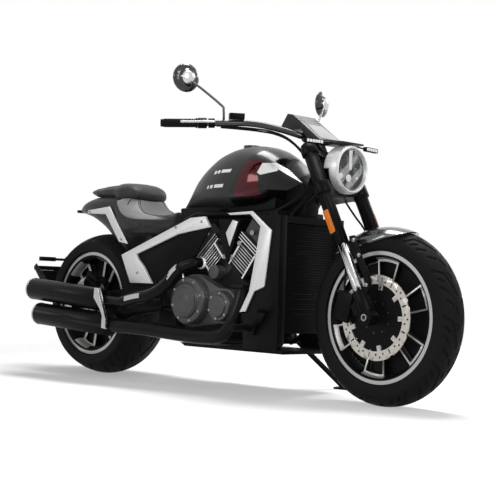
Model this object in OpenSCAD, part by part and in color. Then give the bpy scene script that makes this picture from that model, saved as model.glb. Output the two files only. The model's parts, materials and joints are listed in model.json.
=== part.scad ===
// Motorcycle, a V-twin power cruiser parked on its side stand.
// Millimetres. Every piece is drawn on the upright bike: x = 0 at the rear axle, +X forward,
// +Y left, +Z up from the ground. The stance module then leans it onto the stand and centres it.

/* [Chassis] */
// distance between the axles
wheelbase = 1650; // [1645:1:1656]
// fork angle from vertical
rake = 27; // [26.5:0.1:27.5]
// fork plane ahead of the steering axis
fork_offset = 35; // [32:0.5:38]
// middle of the bike to a fork leg
fork_half = 110; // [108:0.5:112]
// lean onto the side stand
lean = 3; // [2.5:0.1:4]

/* [Wheels] */
// front tyre radius
front_tyre_r = 332; // [328:0.5:335]
// front tyre half width
front_tyre_half = 65; // [60:0.5:67]
// front bead seat radius, a 19 inch rim
front_rim_r = 241; // [239:0.5:243]
// rear tyre radius
rear_tyre_r = 324.6; // [321:0.5:327]
// rear tyre half width
rear_tyre_half = 120; // [112:0.5:122]
// rear bead seat radius, an 18 inch rim
rear_rim_r = 228.6; // [227:0.5:230]
// front axle radius
front_axle_r = 13; // [12:0.5:15]
// rear axle radius
rear_axle_r = 14; // [13:0.5:16]
// hollow bore of both axles
axle_bore_r = 8; // [6:0.5:9]
// forked spokes in each wheel
spoke_count = 6; // [5:1:7]

/* [Brakes] */
// front rotor radius
front_rotor_r = 160; // [156:0.5:162]
// rear rotor radius
rear_rotor_r = 125; // [120:0.5:128]
// rotor thickness
rotor_t = 5; // [4:0.5:6]
// free space each side of a rotor in its caliper
rotor_gap = 5; // [4:0.5:6]

/* [Fork] */
// outer tube radius
fork_tube_r = 27; // [25:0.5:27.5]
// chromed slider radius
fork_slider_r = 21.5; // [20:0.5:23]
// handlebar tube radius
bar_r = 12.7; // [11:0.1:13.5]

/* [Engine] */
// cylinder half length across the bike
fin_half = 136; // [130:0.5:138]
// fin thickness
fin_t = 3.5; // [2.5:0.1:4.5]
// clutch cover radius
clutch_r = 100; // [94:0.5:101]
// small engine cover radius
cover_r = 62; // [58:0.5:64]

/* [Exhaust] */
// muffler radius
muffler_r = 50; // [46:0.5:52]
// muffler wall
muffler_wall = 3; // [2:0.1:5]
// upper header pipe radius
upper_pipe_r = 22; // [20:0.5:24]
// lower header pipe radius
lower_pipe_r = 30; // [27:0.5:31]

/* [Hidden] */
// seated pieces stand this far apart
seat_gap = 0.3;
pipe_wall = 2.5;
// play of a pin in its eye
pin_gap = 0.1;
front_drawn = [1650, 332.103];
rear_drawn = 324.861;
front_crown = 75;
rear_crown = 190;
front_axle_z = front_tyre_r - front_crown + front_crown / cos(lean);
rear_axle_z = rear_tyre_r - rear_crown + rear_crown / cos(lean);
tail_reach = 430;
centre_x = (wheelbase + front_tyre_r - tail_reach) / 2;
centre_y = 55.545;
lip_h = 12;
rotor_y = 64;
rear_rotor_y = -121;
pulley_r = 105;
pulley_y = 126;
arm_in = 160;
arm_out = 186;
belt_w = 24;
front_pulley = [640, 372];
front_pulley_r = 44;
tread_gap = 12;
bar_path = [[1228, 0, 1036], [1228, 25, 1036], [1228, 55, 1036], [1182, 95, 1054], [1126, 158, 1071],
    [1075, 205.4, 1077.8], [1042, 250, 1075], [960, 361, 1068], [879, 470, 1061]];
grip_dir = (bar_path[8] - bar_path[7]) / norm(bar_path[8] - bar_path[7]);
bar_fwd = cross(grip_dir, [0, 0, 1]) / norm(cross(grip_dir, [0, 0, 1]));
grip_l = 125;
v_x = 931;
v_z = 436;
front_v = 37;
rear_v = -43;
cyl_base = 55;
radiator_x = 1206;
cyl_top = 280;
stand_pivot = [1030, 152, 215];
stand_tilt = 35;
stand_pin_r = 8;
stand_foot = [1195, 300];
$fn = 48;

// helpers

module stance() {
    translate([-centre_x, -centre_y, 0]) rotate([-lean, 0, 0]) children();
}

module on_ground() {
    rotate([lean, 0, 0]) children();
}

module both() {
    children();
    mirror([0, 1, 0]) children();
}

module on_fork() {
    translate([wheelbase, 0, front_axle_z]) rotate([0, -rake, 0]) children();
}

// places typed for the drawn wheelbase and tyres follow the axles
module on_nose() {
    translate([wheelbase - front_drawn[0], 0, front_axle_z - front_drawn[1]]) children();
}

module on_front_axle() {
    translate([wheelbase, 0, front_axle_z]) rotate([90, 0, 0]) children();
}

module on_rear_axle() {
    translate([0, 0, rear_axle_z]) rotate([90, 0, 0]) children();
}

// a side view drawing stretched from y0 to y1
module plate(y0, y1) {
    translate([0, y1, 0]) rotate([90, 0, 0]) linear_extrude(y1 - y0) children();
}

module rod(p, q, r) {
    v = q - p;
    translate(p) rotate([0, acos(v[2] / norm(v)), atan2(v[1], v[0])]) cylinder(h = norm(v), r = r);
}

module cross_rod(x, z, y0, y1, r) {
    translate([x, y1, z]) rotate([90, 0, 0]) cylinder(h = y1 - y0, r = r);
}

function pick(rows, i) = rows[max(0, min(len(rows) - 1, i))];

function curve(rows, u) = let(i = floor(u), t = u - i, a = pick(rows, i - 1), b = pick(rows, i),
    c = pick(rows, i + 1), d = pick(rows, i + 2))
    0.5 * (2 * b + (c - a) * t + (2 * a - 5 * b + 4 * c - d) * t * t + (3 * b - a - 3 * c + d) * t * t * t);

function smooth(rows, steps) = [for (k = [0 : (len(rows) - 1) * steps]) curve(rows, k / steps)];

function bow(v, p) = sign(v) * pow(abs(v), p);

// one ring of a body: row holds x, half width, bottom, widest height, top, squareness
function ring(row, n) = [for (k = [0 : n - 1]) let(a = 360 * (k + 0.5) / n, e = 2 / row[5],
    rise = sin(a) > 0 ? row[4] - row[3] : row[3] - row[2])
    [row[0], row[1] * bow(cos(a), e), row[3] + rise * bow(sin(a), e)]];

// a closed skin through rings of n points each
module skin(rings) {
    n = len(rings[0]);
    last = len(rings) - 1;
    points = [for (r = rings) for (p = r) p];
    sides = [for (i = [0 : last - 1]) for (k = [0 : n - 1]) let(m = (k + 1) % n)
        for (f = [[i * n + k, (i + 1) * n + k, i * n + m], [i * n + m, (i + 1) * n + k, (i + 1) * n + m]]) f];
    ends = [[for (k = [0 : n - 1]) k], [for (k = [n - 1 : -1 : 0]) last * n + k]];
    polyhedron(points, concat(sides, ends), convexity = 6);
}

module body(rows, steps, n) {
    skin([for (row = smooth(rows, steps)) ring(row, n)]);
}

// rings of points round a path
function rings(path, r, sides, up) = let(last = len(path) - 1) [for (i = [0 : last])
    let(t = path[min(last, i + 1)] - path[max(0, i - 1)], a = cross(up, t), b = cross(t, a))
    [for (k = [0 : sides - 1]) let(w = 360 * k / sides)
        path[i] + r * (cos(w) * a / norm(a) + sin(w) * b / norm(b))]];

// a round bar swept along a path
module sweep(path, r, sides, up) {
    skin(rings(path, r, sides, up));
}

// the same, hollow: the skin goes out along the bore and back along the outside
module pipe(path, r, wall, sides, up) {
    out = rings(path, r, sides, up);
    bore = rings(path, r - wall, sides, up);
    n = sides;
    m = len(path);
    points = [for (g = concat(bore, [for (i = [m - 1 : -1 : 0]) out[i]])) for (p = g) p];
    polyhedron(points, [for (i = [0 : 2 * m - 1]) for (k = [0 : n - 1])
        let(a = i * n + k, b = i * n + (k + 1) % n, j = (i + 1) % (2 * m), c = j * n + k, d = j * n + (k + 1) % n)
        for (f = [[a, b, c], [b, d, c]]) f], convexity = 8);
}

// wheels

module tyre_shape(r, half, crown, rim) {
    side = half + 45;
    mid = (r + rim) / 2;
    difference() {
        intersection() {
            translate([r - crown, 0]) circle(crown);
            translate([mid - 3, half - side]) circle(side);
            translate([mid - 3, side - half]) circle(side);
            translate([rim + lip_h + seat_gap, -half]) square([r, 2 * half]);
        }
        intersection() {
            translate([r - crown, 0]) circle(crown - 12);
            translate([mid - 3, half - side]) circle(side - 9);
            translate([mid - 3, side - half]) circle(side - 9);
            translate([rim - 5, -half]) square([r, 2 * half]);
        }
    }
}

// rim shape: bead seat, lip and a dropped middle
module rim_shape(r, half) {
    polygon([[r - 26, -half + 22], [r - 12, -half], [r + lip_h, -half], [r + lip_h - 1, -half + 7], [r, -half + 8],
        [r, -half + 24], [r - 14, -half + 34], [r - 14, half - 34], [r, half - 24], [r, half - 8],
        [r + lip_h - 1, half - 7], [r + lip_h, half], [r - 12, half], [r - 26, half - 22]]);
}

// the recessed web inside a forked spoke
module spoke_web(rim, fork_half_angle) {
    reach = rim - 22;
    polygon([[30, -12], [30, 12], reach * [cos(fork_half_angle), sin(fork_half_angle)],
        reach * [cos(fork_half_angle), -sin(fork_half_angle)]]);
}

// one forked spoke, pointing along +X
module spoke_shape(rim, fork_half_angle, leg) {
    reach = rim - 18;
    edge = reach * sin(fork_half_angle);
    both_ways = [1, -1];
    for (s = both_ways)
        polygon([[30, s * 4], [30, s * (4 + leg)], [reach * cos(fork_half_angle), s * edge],
            [reach * cos(fork_half_angle), s * (edge - leg)]]);
    intersection() {
        difference() {
            circle(reach + 1);
            circle(reach - leg);
        }
        polygon([[0, 0], [2 * reach * cos(fork_half_angle), -2 * edge], [2 * reach * cos(fork_half_angle), 2 * edge]]);
    }
}

module front_tyre() {
    color("#1a1a1a") on_front_axle() rotate_extrude($fn = 96)
        tyre_shape(front_tyre_r, front_tyre_half, front_crown, front_rim_r);
}

module front_wheel() {
    color("#222222") on_front_axle() difference() {
        union() {
            rotate_extrude($fn = 96) rim_shape(front_rim_r, 52);
            for (k = [0 : spoke_count - 1]) rotate([0, 0, 23 + 360 / spoke_count * k]) {
                linear_extrude(70, center = true) spoke_shape(front_rim_r, 13, 13);
                linear_extrude(30, center = true) spoke_web(front_rim_r, 12);
            }
            cylinder(h = 2 * rotor_y - 8, r = 40, center = true);
            for (s = [0, 1]) mirror([0, 0, s]) translate([0, 0, rotor_y - 5]) difference() {
                union() {
                    cylinder(h = 5, r = 104);
                    for (k = [0 : 8]) rotate([0, 0, 40 * k]) translate([90, 0, 2.5]) cube([44, 16, 5], center = true);
                }
                for (k = [0 : 8]) rotate([0, 0, 20 + 40 * k]) translate([58, 0, -1]) cylinder(h = 7, r = 8);
            }
        }
        cylinder(h = 300, r = front_axle_r + seat_gap, center = true);
    }
}

module rotor_shape(r, inner, ears, waves) {
    difference() {
        circle(r);
        circle(inner);
        for (k = [0 : waves - 1]) rotate(360 / waves * (k + 0.5)) translate([r + 16, 0]) circle(20);
        for (k = [0 : waves - 1]) rotate(360 / waves * k) {
            translate([r - 12, 0]) circle(4);
            rotate(7) translate([inner + 12, 0]) circle(4);
            rotate(-7) translate([inner + 12, 0]) circle(4);
        }
        for (k = [0 : waves - 1]) rotate(360 / waves * (k + 0.5)) translate([(r + inner) / 2 - 4, 0])
            square([18, 6], center = true);
    }
    for (k = [0 : ears - 1]) rotate(360 / ears * k) difference() {
        translate([inner - 8, 0]) square([26, 18], center = true);
        translate([inner - 12, 0]) circle(4);
    }
}

module front_rotors() {
    color("#b8b0a4") on_front_axle() for (s = [0, 1]) mirror([0, 0, s]) translate([0, 0, rotor_y])
        linear_extrude(rotor_t) rotor_shape(front_rotor_r, 125, 9, 9);
}

module rear_tyre() {
    color("#1a1a1a") on_rear_axle() rotate_extrude($fn = 96)
        tyre_shape(rear_tyre_r, rear_tyre_half, rear_crown, rear_rim_r);
}

module rear_wheel() {
    color("#222222") on_rear_axle() difference() {
        union() {
            rotate_extrude($fn = 96) rim_shape(rear_rim_r, 108);
            for (k = [0 : spoke_count - 1]) rotate([0, 0, 10 + 360 / spoke_count * k]) translate([0, 0, 22]) {
                linear_extrude(70, center = true) spoke_shape(rear_rim_r, 13, 14);
                linear_extrude(30, center = true) spoke_web(rear_rim_r, 12);
            }
            translate([0, 0, -90]) cylinder(h = 195, r = 48);
        }
        cylinder(h = 400, r = rear_axle_r + seat_gap, center = true);
    }
}

module rear_rotor() {
    color("#b8b0a4") on_rear_axle() translate([0, 0, 116]) linear_extrude(rotor_t) {
        rotor_shape(rear_rotor_r, 92, 6, 8);
        difference() {
            circle(84);
            circle(24);
            for (k = [0 : 5]) rotate(30 + 60 * k) translate([64, 0]) circle(13);
        }
    }
    color("#222222") on_rear_axle() translate([0, 0, 105]) difference() {
        cylinder(h = 11, r = 44);
        translate([0, 0, -1]) cylinder(h = 13, r = 24);
    }
}

module rear_pulley() {
    color("#2a2a2a") on_rear_axle() translate([0, 0, -pulley_y - belt_w - 3]) difference() {
        union() {
            translate([0, 0, 3]) cylinder(h = belt_w, r = pulley_r);
            cylinder(h = 2.5, r = pulley_r + 8);
            translate([0, 0, belt_w + 3.5]) cylinder(h = 2.5, r = pulley_r + 8);
            cylinder(h = 62.7, r = 46);
        }
        translate([0, 0, -1]) cylinder(h = 80, r = 24);
        for (k = [0 : 5]) rotate([0, 0, 60 * k]) translate([75, 0, -1]) cylinder(h = 40, r = 17);
    }
}

// steering

module fork_tubes() {
    color("#1c1c1c") on_fork() both() translate([0, fork_half, 301]) {
        cylinder(h = 434, r = fork_tube_r);
        translate([0, 0, 434]) cylinder(h = 8, r = 16);
    }
}

module fork_sliders() {
    color("#cfcfcf") on_fork() both() translate([0, fork_half, 104]) cylinder(h = 197, r = fork_slider_r);
}

module fork_feet() {
    color("#202020") {
        both() {
            on_fork() difference() {
                union() {
                    translate([0, fork_half, 20]) cylinder(h = 84, r = fork_slider_r + 8);
                    translate([0, 134, 0]) rotate([90, 0, 0]) cylinder(h = 48, r = 29);
                    translate([-60, fork_half - 12, 30]) cube([60, 12, 46]);
                }
                translate([0, 150, 0]) rotate([90, 0, 0]) cylinder(h = 80, r = front_axle_r + pin_gap);
            }
            // arm in front of the slider up to the fender
            translate([wheelbase - 1650, 0, front_axle_z - 332]) {
                plate(fork_half - 8, fork_half + 6) polygon([[1606, 398], [1640, 414], [1655, 450], [1645, 492],
                    [1610, 550], [1580, 606], [1570, 636], [1548, 632], [1558, 596], [1588, 542], [1622, 488],
                    [1631, 456], [1624, 434]]);
                cross_rod(1562, 616, 78 + seat_gap, fork_half, 10);
            }
        }
    }
}

module yokes() {
    color("#242424") {
        on_fork() difference() {
            union() {
                for (row = [[519, 46, 30, 34], [692, 26, 30, 33]]) translate([0, 0, row[0]]) linear_extrude(row[1]) {
                    for (s = [1, -1]) translate([0, s * fork_half]) circle(row[3]);
                    translate([-fork_offset, 0]) circle(row[2] + 6);
                    polygon([[24, fork_half], [-24, fork_half], [-fork_offset - 34, 24], [-fork_offset - 34, -24],
                        [-24, -fork_half], [24, -fork_half], [0, -40], [0, 40]]);
                }
                translate([-fork_offset, 0, 560]) cylinder(h = 140, r = 15);
            }
            both() translate([0, fork_half, 500]) cylinder(h = 300, r = fork_tube_r + pin_gap);
        }
        // posts and clamps of the handlebar
        difference() {
            both() {
                on_fork() translate([-fork_offset - 8, 16, 717]) cylinder(h = 7, r = 14);
                on_nose() rod([1289, 16, 958], [1236, 16, 1026], 12);
                on_nose() cross_rod(1228, 1036, 7, 24, 24);
            }
            on_nose() cross_rod(1228, 1036, -40, 40, bar_r + seat_gap);
            on_fork() translate([-100, -60, 600]) cube([200, 120, 117]);
        }
    }
}

module front_axle() {
    color("#9a9a9a") on_front_axle() difference() {
        cylinder(h = 276, r = front_axle_r, center = true);
        cylinder(h = 300, r = axle_bore_r, center = true);
    }
}

module front_calipers() {
    gap = rotor_gap + rotor_t / 2;
    mid = rotor_y + rotor_t / 2;
    color("#191919") both() translate([wheelbase, 0, front_axle_z]) difference() {
        rotate([0, -166, 0]) translate([110, mid - 26, -55]) cube([74, 52, 110]);
        translate([0, mid + gap, 0]) rotate([90, 0, 0]) cylinder(h = 2 * gap, r = front_rotor_r + 6);
        on_slot = fork_half - 12;
        translate([-150, on_slot - seat_gap, -100]) cube([300, 60, 300]);
    }
}

// fender: shell about the wheel trimmed in side view
module front_fender() {
    half = 78;
    wall = 4;
    crown = 100;
    lift = 10.5;
    color("#1b1b1d") difference() {
        intersection() {
            on_front_axle() rotate_extrude($fn = 96) {
                difference() {
                    intersection() {
                        translate([front_tyre_r - crown + lift, 0]) circle(crown);
                        translate([front_tyre_r - 30, -half]) square([500, 2 * half]);
                    }
                    translate([front_tyre_r - crown + lift, 0]) circle(crown - wall);
                }
                for (y = [half - wall, -half]) translate([front_tyre_r - 56, y]) square([30, wall]);
            }
            translate([wheelbase, 0, front_axle_z]) plate(-200, 200)
                polygon([[-205, 232], [-60, 270], [30, 294], [84, 306], [118, 322], [130, 350], [100, 420],
                    [-250, 420], [-275, 312]]);
        }
        // narrow front when seen from above
        both() linear_extrude(1200) polygon([[wheelbase + 30, 80], [wheelbase + 75, 70], [wheelbase + 105, 48],
            [wheelbase + 300, 20], [wheelbase + 300, 120], [wheelbase + 30, 120]]);
    }
}

module handlebar() {
    half = smooth(bar_path, 2);
    whole = concat([for (i = [len(half) - 1 : -1 : 1]) [half[i][0], -half[i][1], half[i][2]]], half);
    color("#3a3a3c") sweep(whole, bar_r, 14, [0, 0, 1]);
}

module grips() {
    end = bar_path[8];
    color("#141414") both() difference() {
        union() {
            rod(end - grip_l * grip_dir, end + 2 * grip_dir, 17);
            rod(end - (grip_l + 6) * grip_dir, end - grip_l * grip_dir, 20);
            rod(end + 2 * grip_dir, end + 14 * grip_dir, 15);
        }
        rod(end - 200 * grip_dir, end + grip_dir, bar_r + seat_gap);
    }
}

module hand_controls() {
    end = bar_path[8];
    at = end - 172 * grip_dir;
    color("#1b1b1b") {
        both() difference() {
            union() {
                rod(end - 168 * grip_dir, end - 134 * grip_dir, 21);
                rod(end - 200 * grip_dir, end - 176 * grip_dir, 19);
                rod(at - 16 * grip_dir, at - 16 * grip_dir + 42 * bar_fwd, 11);
            }
            rod(end - 260 * grip_dir, end, bar_r + 0.7);
        }
        // brake fluid reservoir on the right
        translate([1050, -239, 1090.4]) rotate([0, 0, -37]) translate([-20, -30, 0]) cube([40, 60, 24]);
    }
}

module levers() {
    tip = bar_path[8] - 60 * grip_dir + 50 * bar_fwd;
    root = bar_path[8] - 196 * grip_dir + 47.6 * bar_fwd;
    color("#c0c0c0") both() {
        sweep(smooth([root, root + 34 * grip_dir + 6 * bar_fwd, (root + tip) / 2 + 3 * bar_fwd, tip - 30 * grip_dir, tip], 3), 5, 10,
            [0, 0, 1]);
    }
}

module mirrors() {
    color("#1b1b1b") both() {
        sweep(smooth([[1020, 281, 1086.2], [1019, 283, 1128], [1014, 291, 1144], [968, 364, 1207], [949.6, 391.1, 1225.9]], 3),
            5, 10, [1, 0, 0]);
        translate([932, 408, 1245]) rotate([0, 90, 14]) rotate_extrude() polygon([[0, -13], [52, -13], [57, -9],
            [57, -3], [46, 4], [30, 9], [27, 14], [20, 21], [10, 24], [0, 25]]);
    }
}

// headlamp facing forward

lamp_x = 1457;
lamp_z = 896;

module on_lamp() {
    translate([lamp_x, 0, lamp_z]) rotate([0, 90, 0]) children();
}

module headlamp_bezel() {
    color("#c8c8c8") difference() {
        on_lamp() rotate_extrude($fn = 96) polygon([[83, -66], [93, -66], [95, -20], [93, -2], [87, 5], [83, 2]]);
        translate([lamp_x - 100, -120, lamp_z - 120]) cube([60, 240, 120]);
    }
}

module headlamp_lens() {
    color("#d8e0e4") on_lamp() intersection() {
        translate([0, 0, -12]) cylinder(h = 40, r = 83 - seat_gap);
        translate([0, 0, -298]) sphere(r = 300, $fn = 160);
    }
}

module headlamp_shell() {
    color("#181818") {
        difference() {
            on_nose() on_lamp() rotate_extrude() polygon([[0, -110], [45, -108], [70, -80], [82.5, -62], [82.5, -12.3],
                [0, -12.3]]);
            on_fork() translate([-fork_offset, 0, 400]) cylinder(h = 500, r = 40);
            on_fork() translate([-150, -140, 500]) cube([160, 280, 70]);
        }
        both() on_nose() translate([lamp_x - 108, 60, lamp_z - 14]) cube([26, fork_half - fork_tube_r - 60.5, 28]);
    }
}

module dash() {
    color("#3c3c40") on_nose() plate(-66, 66) polygon([[1120, 1062], [1165, 1128], [1195, 1122], [1345, 1014], [1456, 1002],
        [1456, 995], [1325, 995], [1290, 1006], [1238, 1063], [1150, 1061]]);
    color("#242424") on_fork() translate([-8, 0, 718.2]) cylinder(h = 42, r = 8);
}

module front_signals() {
    color("#181818") both() {
        rod([1405, 66 + seat_gap, 998.5], [1402, 130, 994], 3.2);
        translate([1402, 128, 984]) rotate([0, 0, 8]) cube([16, 88, 17]);
    }
}

module reflectors() {
    color("#e08010") both() on_fork() translate([-8, fork_half + fork_tube_r + seat_gap, 350]) {
        translate([-5, 0, 0]) cube([26, 8, 96]);
    }
}

// chassis

module frame() {
    rails = [[1296, 26, 842], [1240, 62, 790], [1160, 90, 736], [1000, 100, 722], [700, 105, 722], [590, 106, 660],
        [552, 97, 560], [552, 97, 470]];
    cradle = [[1280, 22, 812], [1216, 56, 736], [1180, 84, 640], [1166, 104, 480], [1150, 118, 330],
        [1105, 126, 228], [1000, 130, 206], [680, 128, 206], [590, 104, 250], [568, 97, 330]];
    color("#161616") {
        difference() {
            union() {
                on_fork() translate([-fork_offset, 0, 567]) cylinder(h = 123, r = 33);
                translate([wheelbase - 1650, 0, 0]) plate(-34, 34) polygon([[1350, 842], [1262, 794], [1244, 804],
                    [1264, 862], [1312, 908]]);
            }
            on_fork() translate([-fork_offset, 0, 500]) cylinder(h = 300, r = 15.5);
        }
        both() {
            sweep(smooth(rails, 2), 14, 12, [0, 1, 0.01]);
            sweep(smooth(cradle, 2), 13, 12, [0, 1, 0.01]);
            plate(80, 114) polygon([[510, 320], [588, 300], [592, 480], [520, 490]]);
        }
        cross_rod(545, 400, -113, 113, 10);
        translate([820, -95, 716]) cube([40, 190, 31.6]);
        // seat rail, radiator brackets and engine lugs
        seat_rail(0);
        both() {
            for (row = [[1166, 88, 552], [1136, 112, 292]]) translate(row)
                cube([radiator_x - seat_gap - row[0], 16, 24]);
            for (x = [690, 985]) translate([x, 110 + seat_gap, 198]) cube([30, 19, 44]);
        }
        // muffler hanger
        cross_rod(575, 330, -196, -100, 9);
        plate(-200 + seat_gap, -192) polygon([[595, 345], [595, 312], [420, 285], [320, 240], [210, 236], [200, 262],
            [215, 360], [300, 362], [400, 325]]);
        // stand bracket with its pin on the left
        translate([stand_pivot[0] - 26, 116, stand_pivot[2] - 10]) cube([52, 22, 30]);
        on_pivot() translate([0, 0, -16]) cylinder(h = 14, r = 18);
        on_pivot() translate([0, 0, -20]) cylinder(h = 44, r = stand_pin_r);
    }
}

module seat_rail(grow) {
    translate([400 - grow, -100 - grow, 612 - grow]) cube([172 + 2 * grow, 200 + 2 * grow, 28 + 2 * grow]);
}

module swingarm() {
    run = norm([545, 400 - rear_axle_z]);
    color("#1d1d1d") {
        translate([0, 0, rear_axle_z]) rotate([0, -atan((400 - rear_axle_z) / 545), 0]) difference() {
            union() {
                both() translate([0, 0, -28]) linear_extrude(56) polygon([[-46, arm_in], [-46, arm_out],
                    [350, arm_out], [505, 76], [run, 76], [run, 40], [490, 40], [395, 100], [345, 152], [300, arm_in]]);
                translate([run, 76, 0]) rotate([90, 0, 0]) cylinder(h = 152, r = 28);
                translate([375, -130, -24]) cube([45, 260, 48]);
            }
            translate([run, 120, 0]) rotate([90, 0, 0]) cylinder(h = 240, r = 10 + seat_gap);
            translate([0, 220, 0]) rotate([90, 0, 0]) cylinder(h = 440, r = rear_axle_r + seat_gap);
        }
        // rear caliper on the right arm
        translate([0, 0, rear_axle_z]) difference() {
            union() {
                rotate([0, -62, 0]) translate([84, -arm_in, -40]) cube([62, 56, 80]);
                plate(-arm_in - 18, -arm_in) polygon([[0, 20], [110, 28], [100, 90], [40, 110]]);
            }
            translate([0, rear_rotor_y + rotor_t + rotor_gap, 0]) rotate([90, 0, 0])
                cylinder(h = rotor_t + 2 * rotor_gap, r = rear_rotor_r + 6);
        }
    }
}

module rear_axle() {
    color("#9a9a9a") on_rear_axle() difference() {
        cylinder(h = 380, r = rear_axle_r, center = true);
        cylinder(h = 400, r = axle_bore_r, center = true);
    }
}

module belt() {
    back = [0, rear_axle_z];
    small = front_pulley_r;
    d = front_pulley - back;
    a = atan2(d[1], d[0]);
    color("#151515") plate(pulley_y, pulley_y + belt_w) translate(back) rotate(a) difference() {
        belt_shape(norm(d), pulley_r + 5.3, small + 5.3);
        belt_shape(norm(d), pulley_r + 0.3, small + 0.3);
    }
}

// a loop round two circles, the big one at the start
module belt_shape(d, big, small) {
    w = acos((big - small) / d);
    n = 60;
    polygon(concat([for (k = [0 : n]) let(a = w + (360 - 2 * w) * k / n) [big * cos(a), big * sin(a)]],
        [for (k = [0 : n]) let(a = -w + 2 * w * k / n) [d + small * cos(a), small * sin(a)]]));
}

module side_stand() {
    foot = stand_foot;
    color("#1d1d1d") {
        difference() {
            union() {
                on_pivot() cylinder(h = 22, r = 20);
                rod(stand_pivot + [0, 11, 7.7], [foot[0], foot[1] - 4, foot[1] * tan(lean) + 12], 11);
                on_ground() translate([foot[0] - 34, foot[1] - 22, 0]) cube([74, 46, 8]);
                on_ground() translate([foot[0], foot[1], 0]) cylinder(h = 20, r = 14);
            }
            on_pivot() translate([0, 0, -30]) cylinder(h = 100, r = stand_pin_r + pin_gap);
            on_ground() translate([0, 0, -50]) cube([2000, 600, 100], center = true);
        }
    }
}

module on_pivot() {
    translate(stand_pivot) rotate([-90 + stand_tilt, 0, 0]) children();
}

module foot_controls() {
    color("#1a1a1a") both() {
        cross_rod(1128, 268, 204, 300, 14);
        plate(190 + seat_gap, 206) polygon([[1098, 236], [1150, 240], [1168, 280], [1150, 300], [1105, 296]]);
        // toe lever
        plate(200, 214) polygon([[1130, 250], [1200, 296], [1228, 336], [1212, 346], [1184, 312], [1126, 276]]);
        cross_rod(1219, 338, 205, 262, 9);
    }
}

// engine

module on_cylinder(angle) {
    translate([v_x, 0, v_z]) rotate([0, angle, 0]) children();
}

// side view point on a cylinder: distance along its axis and across it
function v_point(angle, along, across) = [v_x + along * sin(angle) + across * cos(angle),
    v_z + along * cos(angle) - across * sin(angle)];

module crankcase() {
    color("#2c2c2e") plate(-110, 110) polygon([[640, 260], [640, 420], [700, 462], [800, 470], v_point(rear_v, cyl_base - 0.2, -45),
        v_point(rear_v, cyl_base - 0.2, 45), v_point(front_v, cyl_base - 0.2, -45),
        v_point(front_v, cyl_base - 0.2, 45), [1085, 400], [1105, 330], [1080, 240], [1000, 214], [690, 214]]);
    // front exhaust flange
    color("#2c2c2e") translate([994, -180, 423.5]) cube([68, 90, 12]);
}

// round covers: x, z, radius, base depth, full depth
clutch_at = [748, 362];
small_at = [928, 345];

module cover(x, z, r, y0, y1) {
    translate([x, y0, z]) rotate([90, 0, 0]) rotate_extrude($fn = 96) polygon([[0, 0], [r, 0], [r, (y0 - y1) * 0.62],
        [r * 0.94, (y0 - y1) * 0.8], [r * 0.74, (y0 - y1) * 0.8], [r * 0.7, y0 - y1], [0, y0 - y1]]);
}

module engine_covers() {
    color("#4a4a4d") {
        plate(-150, -110) {
            translate(clutch_at) circle(clutch_r + 10);
            translate(small_at) circle(cover_r + 10);
            polygon([[748, 470], [780, 466], [890, 420], [935, 416], [930, 275], [880, 270], [748, 252]]);
        }
        cover(clutch_at[0], clutch_at[1], clutch_r, -150, -208);
        cover(small_at[0], small_at[1], cover_r, -150, -196);
        translate([868, -118 - seat_gap, 484]) rotate([90, 0, 0]) cylinder(h = 44, r = 29);
        // left side: alternator and front pulley covers
        plate(110, 117) translate([905, 350]) circle(90);
        mirror([0, 1, 0]) cover(905, 350, 84, -117, -176);
        plate(152, 160) translate(front_pulley) circle(60);
        cross_rod(front_pulley[0], front_pulley[1], 110 + seat_gap, 152, front_pulley_r);
    }
}

module cylinders() {
    color("#1c1c1e") for (row = [[front_v, 82, 8], [rear_v, 112, 6]]) on_cylinder(row[0]) {
        translate([-45, -118, cyl_base]) cube([90, 236, cyl_top - cyl_base - 55]);
        translate([-68, -124, cyl_top - 58]) cube([136, 248, 58]);
        for (k = [0 : row[2] - 1]) translate([-46, -fin_half, row[1] + 12 * k]) cube([92, 2 * fin_half, fin_t]);
        for (k = [0 : 2]) translate([-76, -fin_half, 184 + 12 * k]) cube([152, 2 * fin_half, fin_t]);
        for (s = [1, -1]) for (t = [1, -1]) translate([s * 49 - 3.5, t * (fin_half - 8) - 10, row[1] - 14])
            cube([7, 20, 196 - row[1]]);
    }
    // rear exhaust port
    color("#1c1c1e") cross_rod(768, 520, -144, -90, 26);
}

module intake() {
    color("#161616") plate(-146, 146) polygon([[929, 520], [900, 580], [880, 650], [874, 700], [1000, 700],
        [988, 668], [960, 590]]);
}

module front_shrouds() {
    color("#b9b9bb") both() {
        plate(190, 197) polygon([[973, 722], [1114, 728], [1222, 652], [1218, 622], [1193, 431], [1139, 411],
            [1095, 330], [1063, 327], [1112, 410], [1138, 539], [1162, 667], [1103, 716], [990, 714]]);
        plate(146, 150) polygon([[920, 645], [958, 698], [988, 690], [944, 590]]);
    }
}

module radiator() {
    color("#2a2a2a") {
        translate([radiator_x, -149.7, 250]) cube([40, 299.4, 430]);
        for (k = [0 : 42]) translate([1245, -146, 254 + 10 * k]) cube([4, 292, 3]);
    }
}

module radiator_shroud() {
    color("#141414") {
        both() {
            plate(150, 190) polygon([[1144, 712], [1262, 712], [1266, 210], [1240, 184], [1085, 184], [1066, 322],
                [1098, 326], [1142, 408], [1196, 428], [1200, 560], [1165, 664]]);
        }
        translate([1222, -150, 684]) cube([40, 300, 26]);
        translate([1100, -150, 170]) cube([164, 300, 14]);
        plate(-150, 150) polygon([[670, 184], [700, 170], [1100, 170], [1100, 182]]);
    }
}

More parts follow.
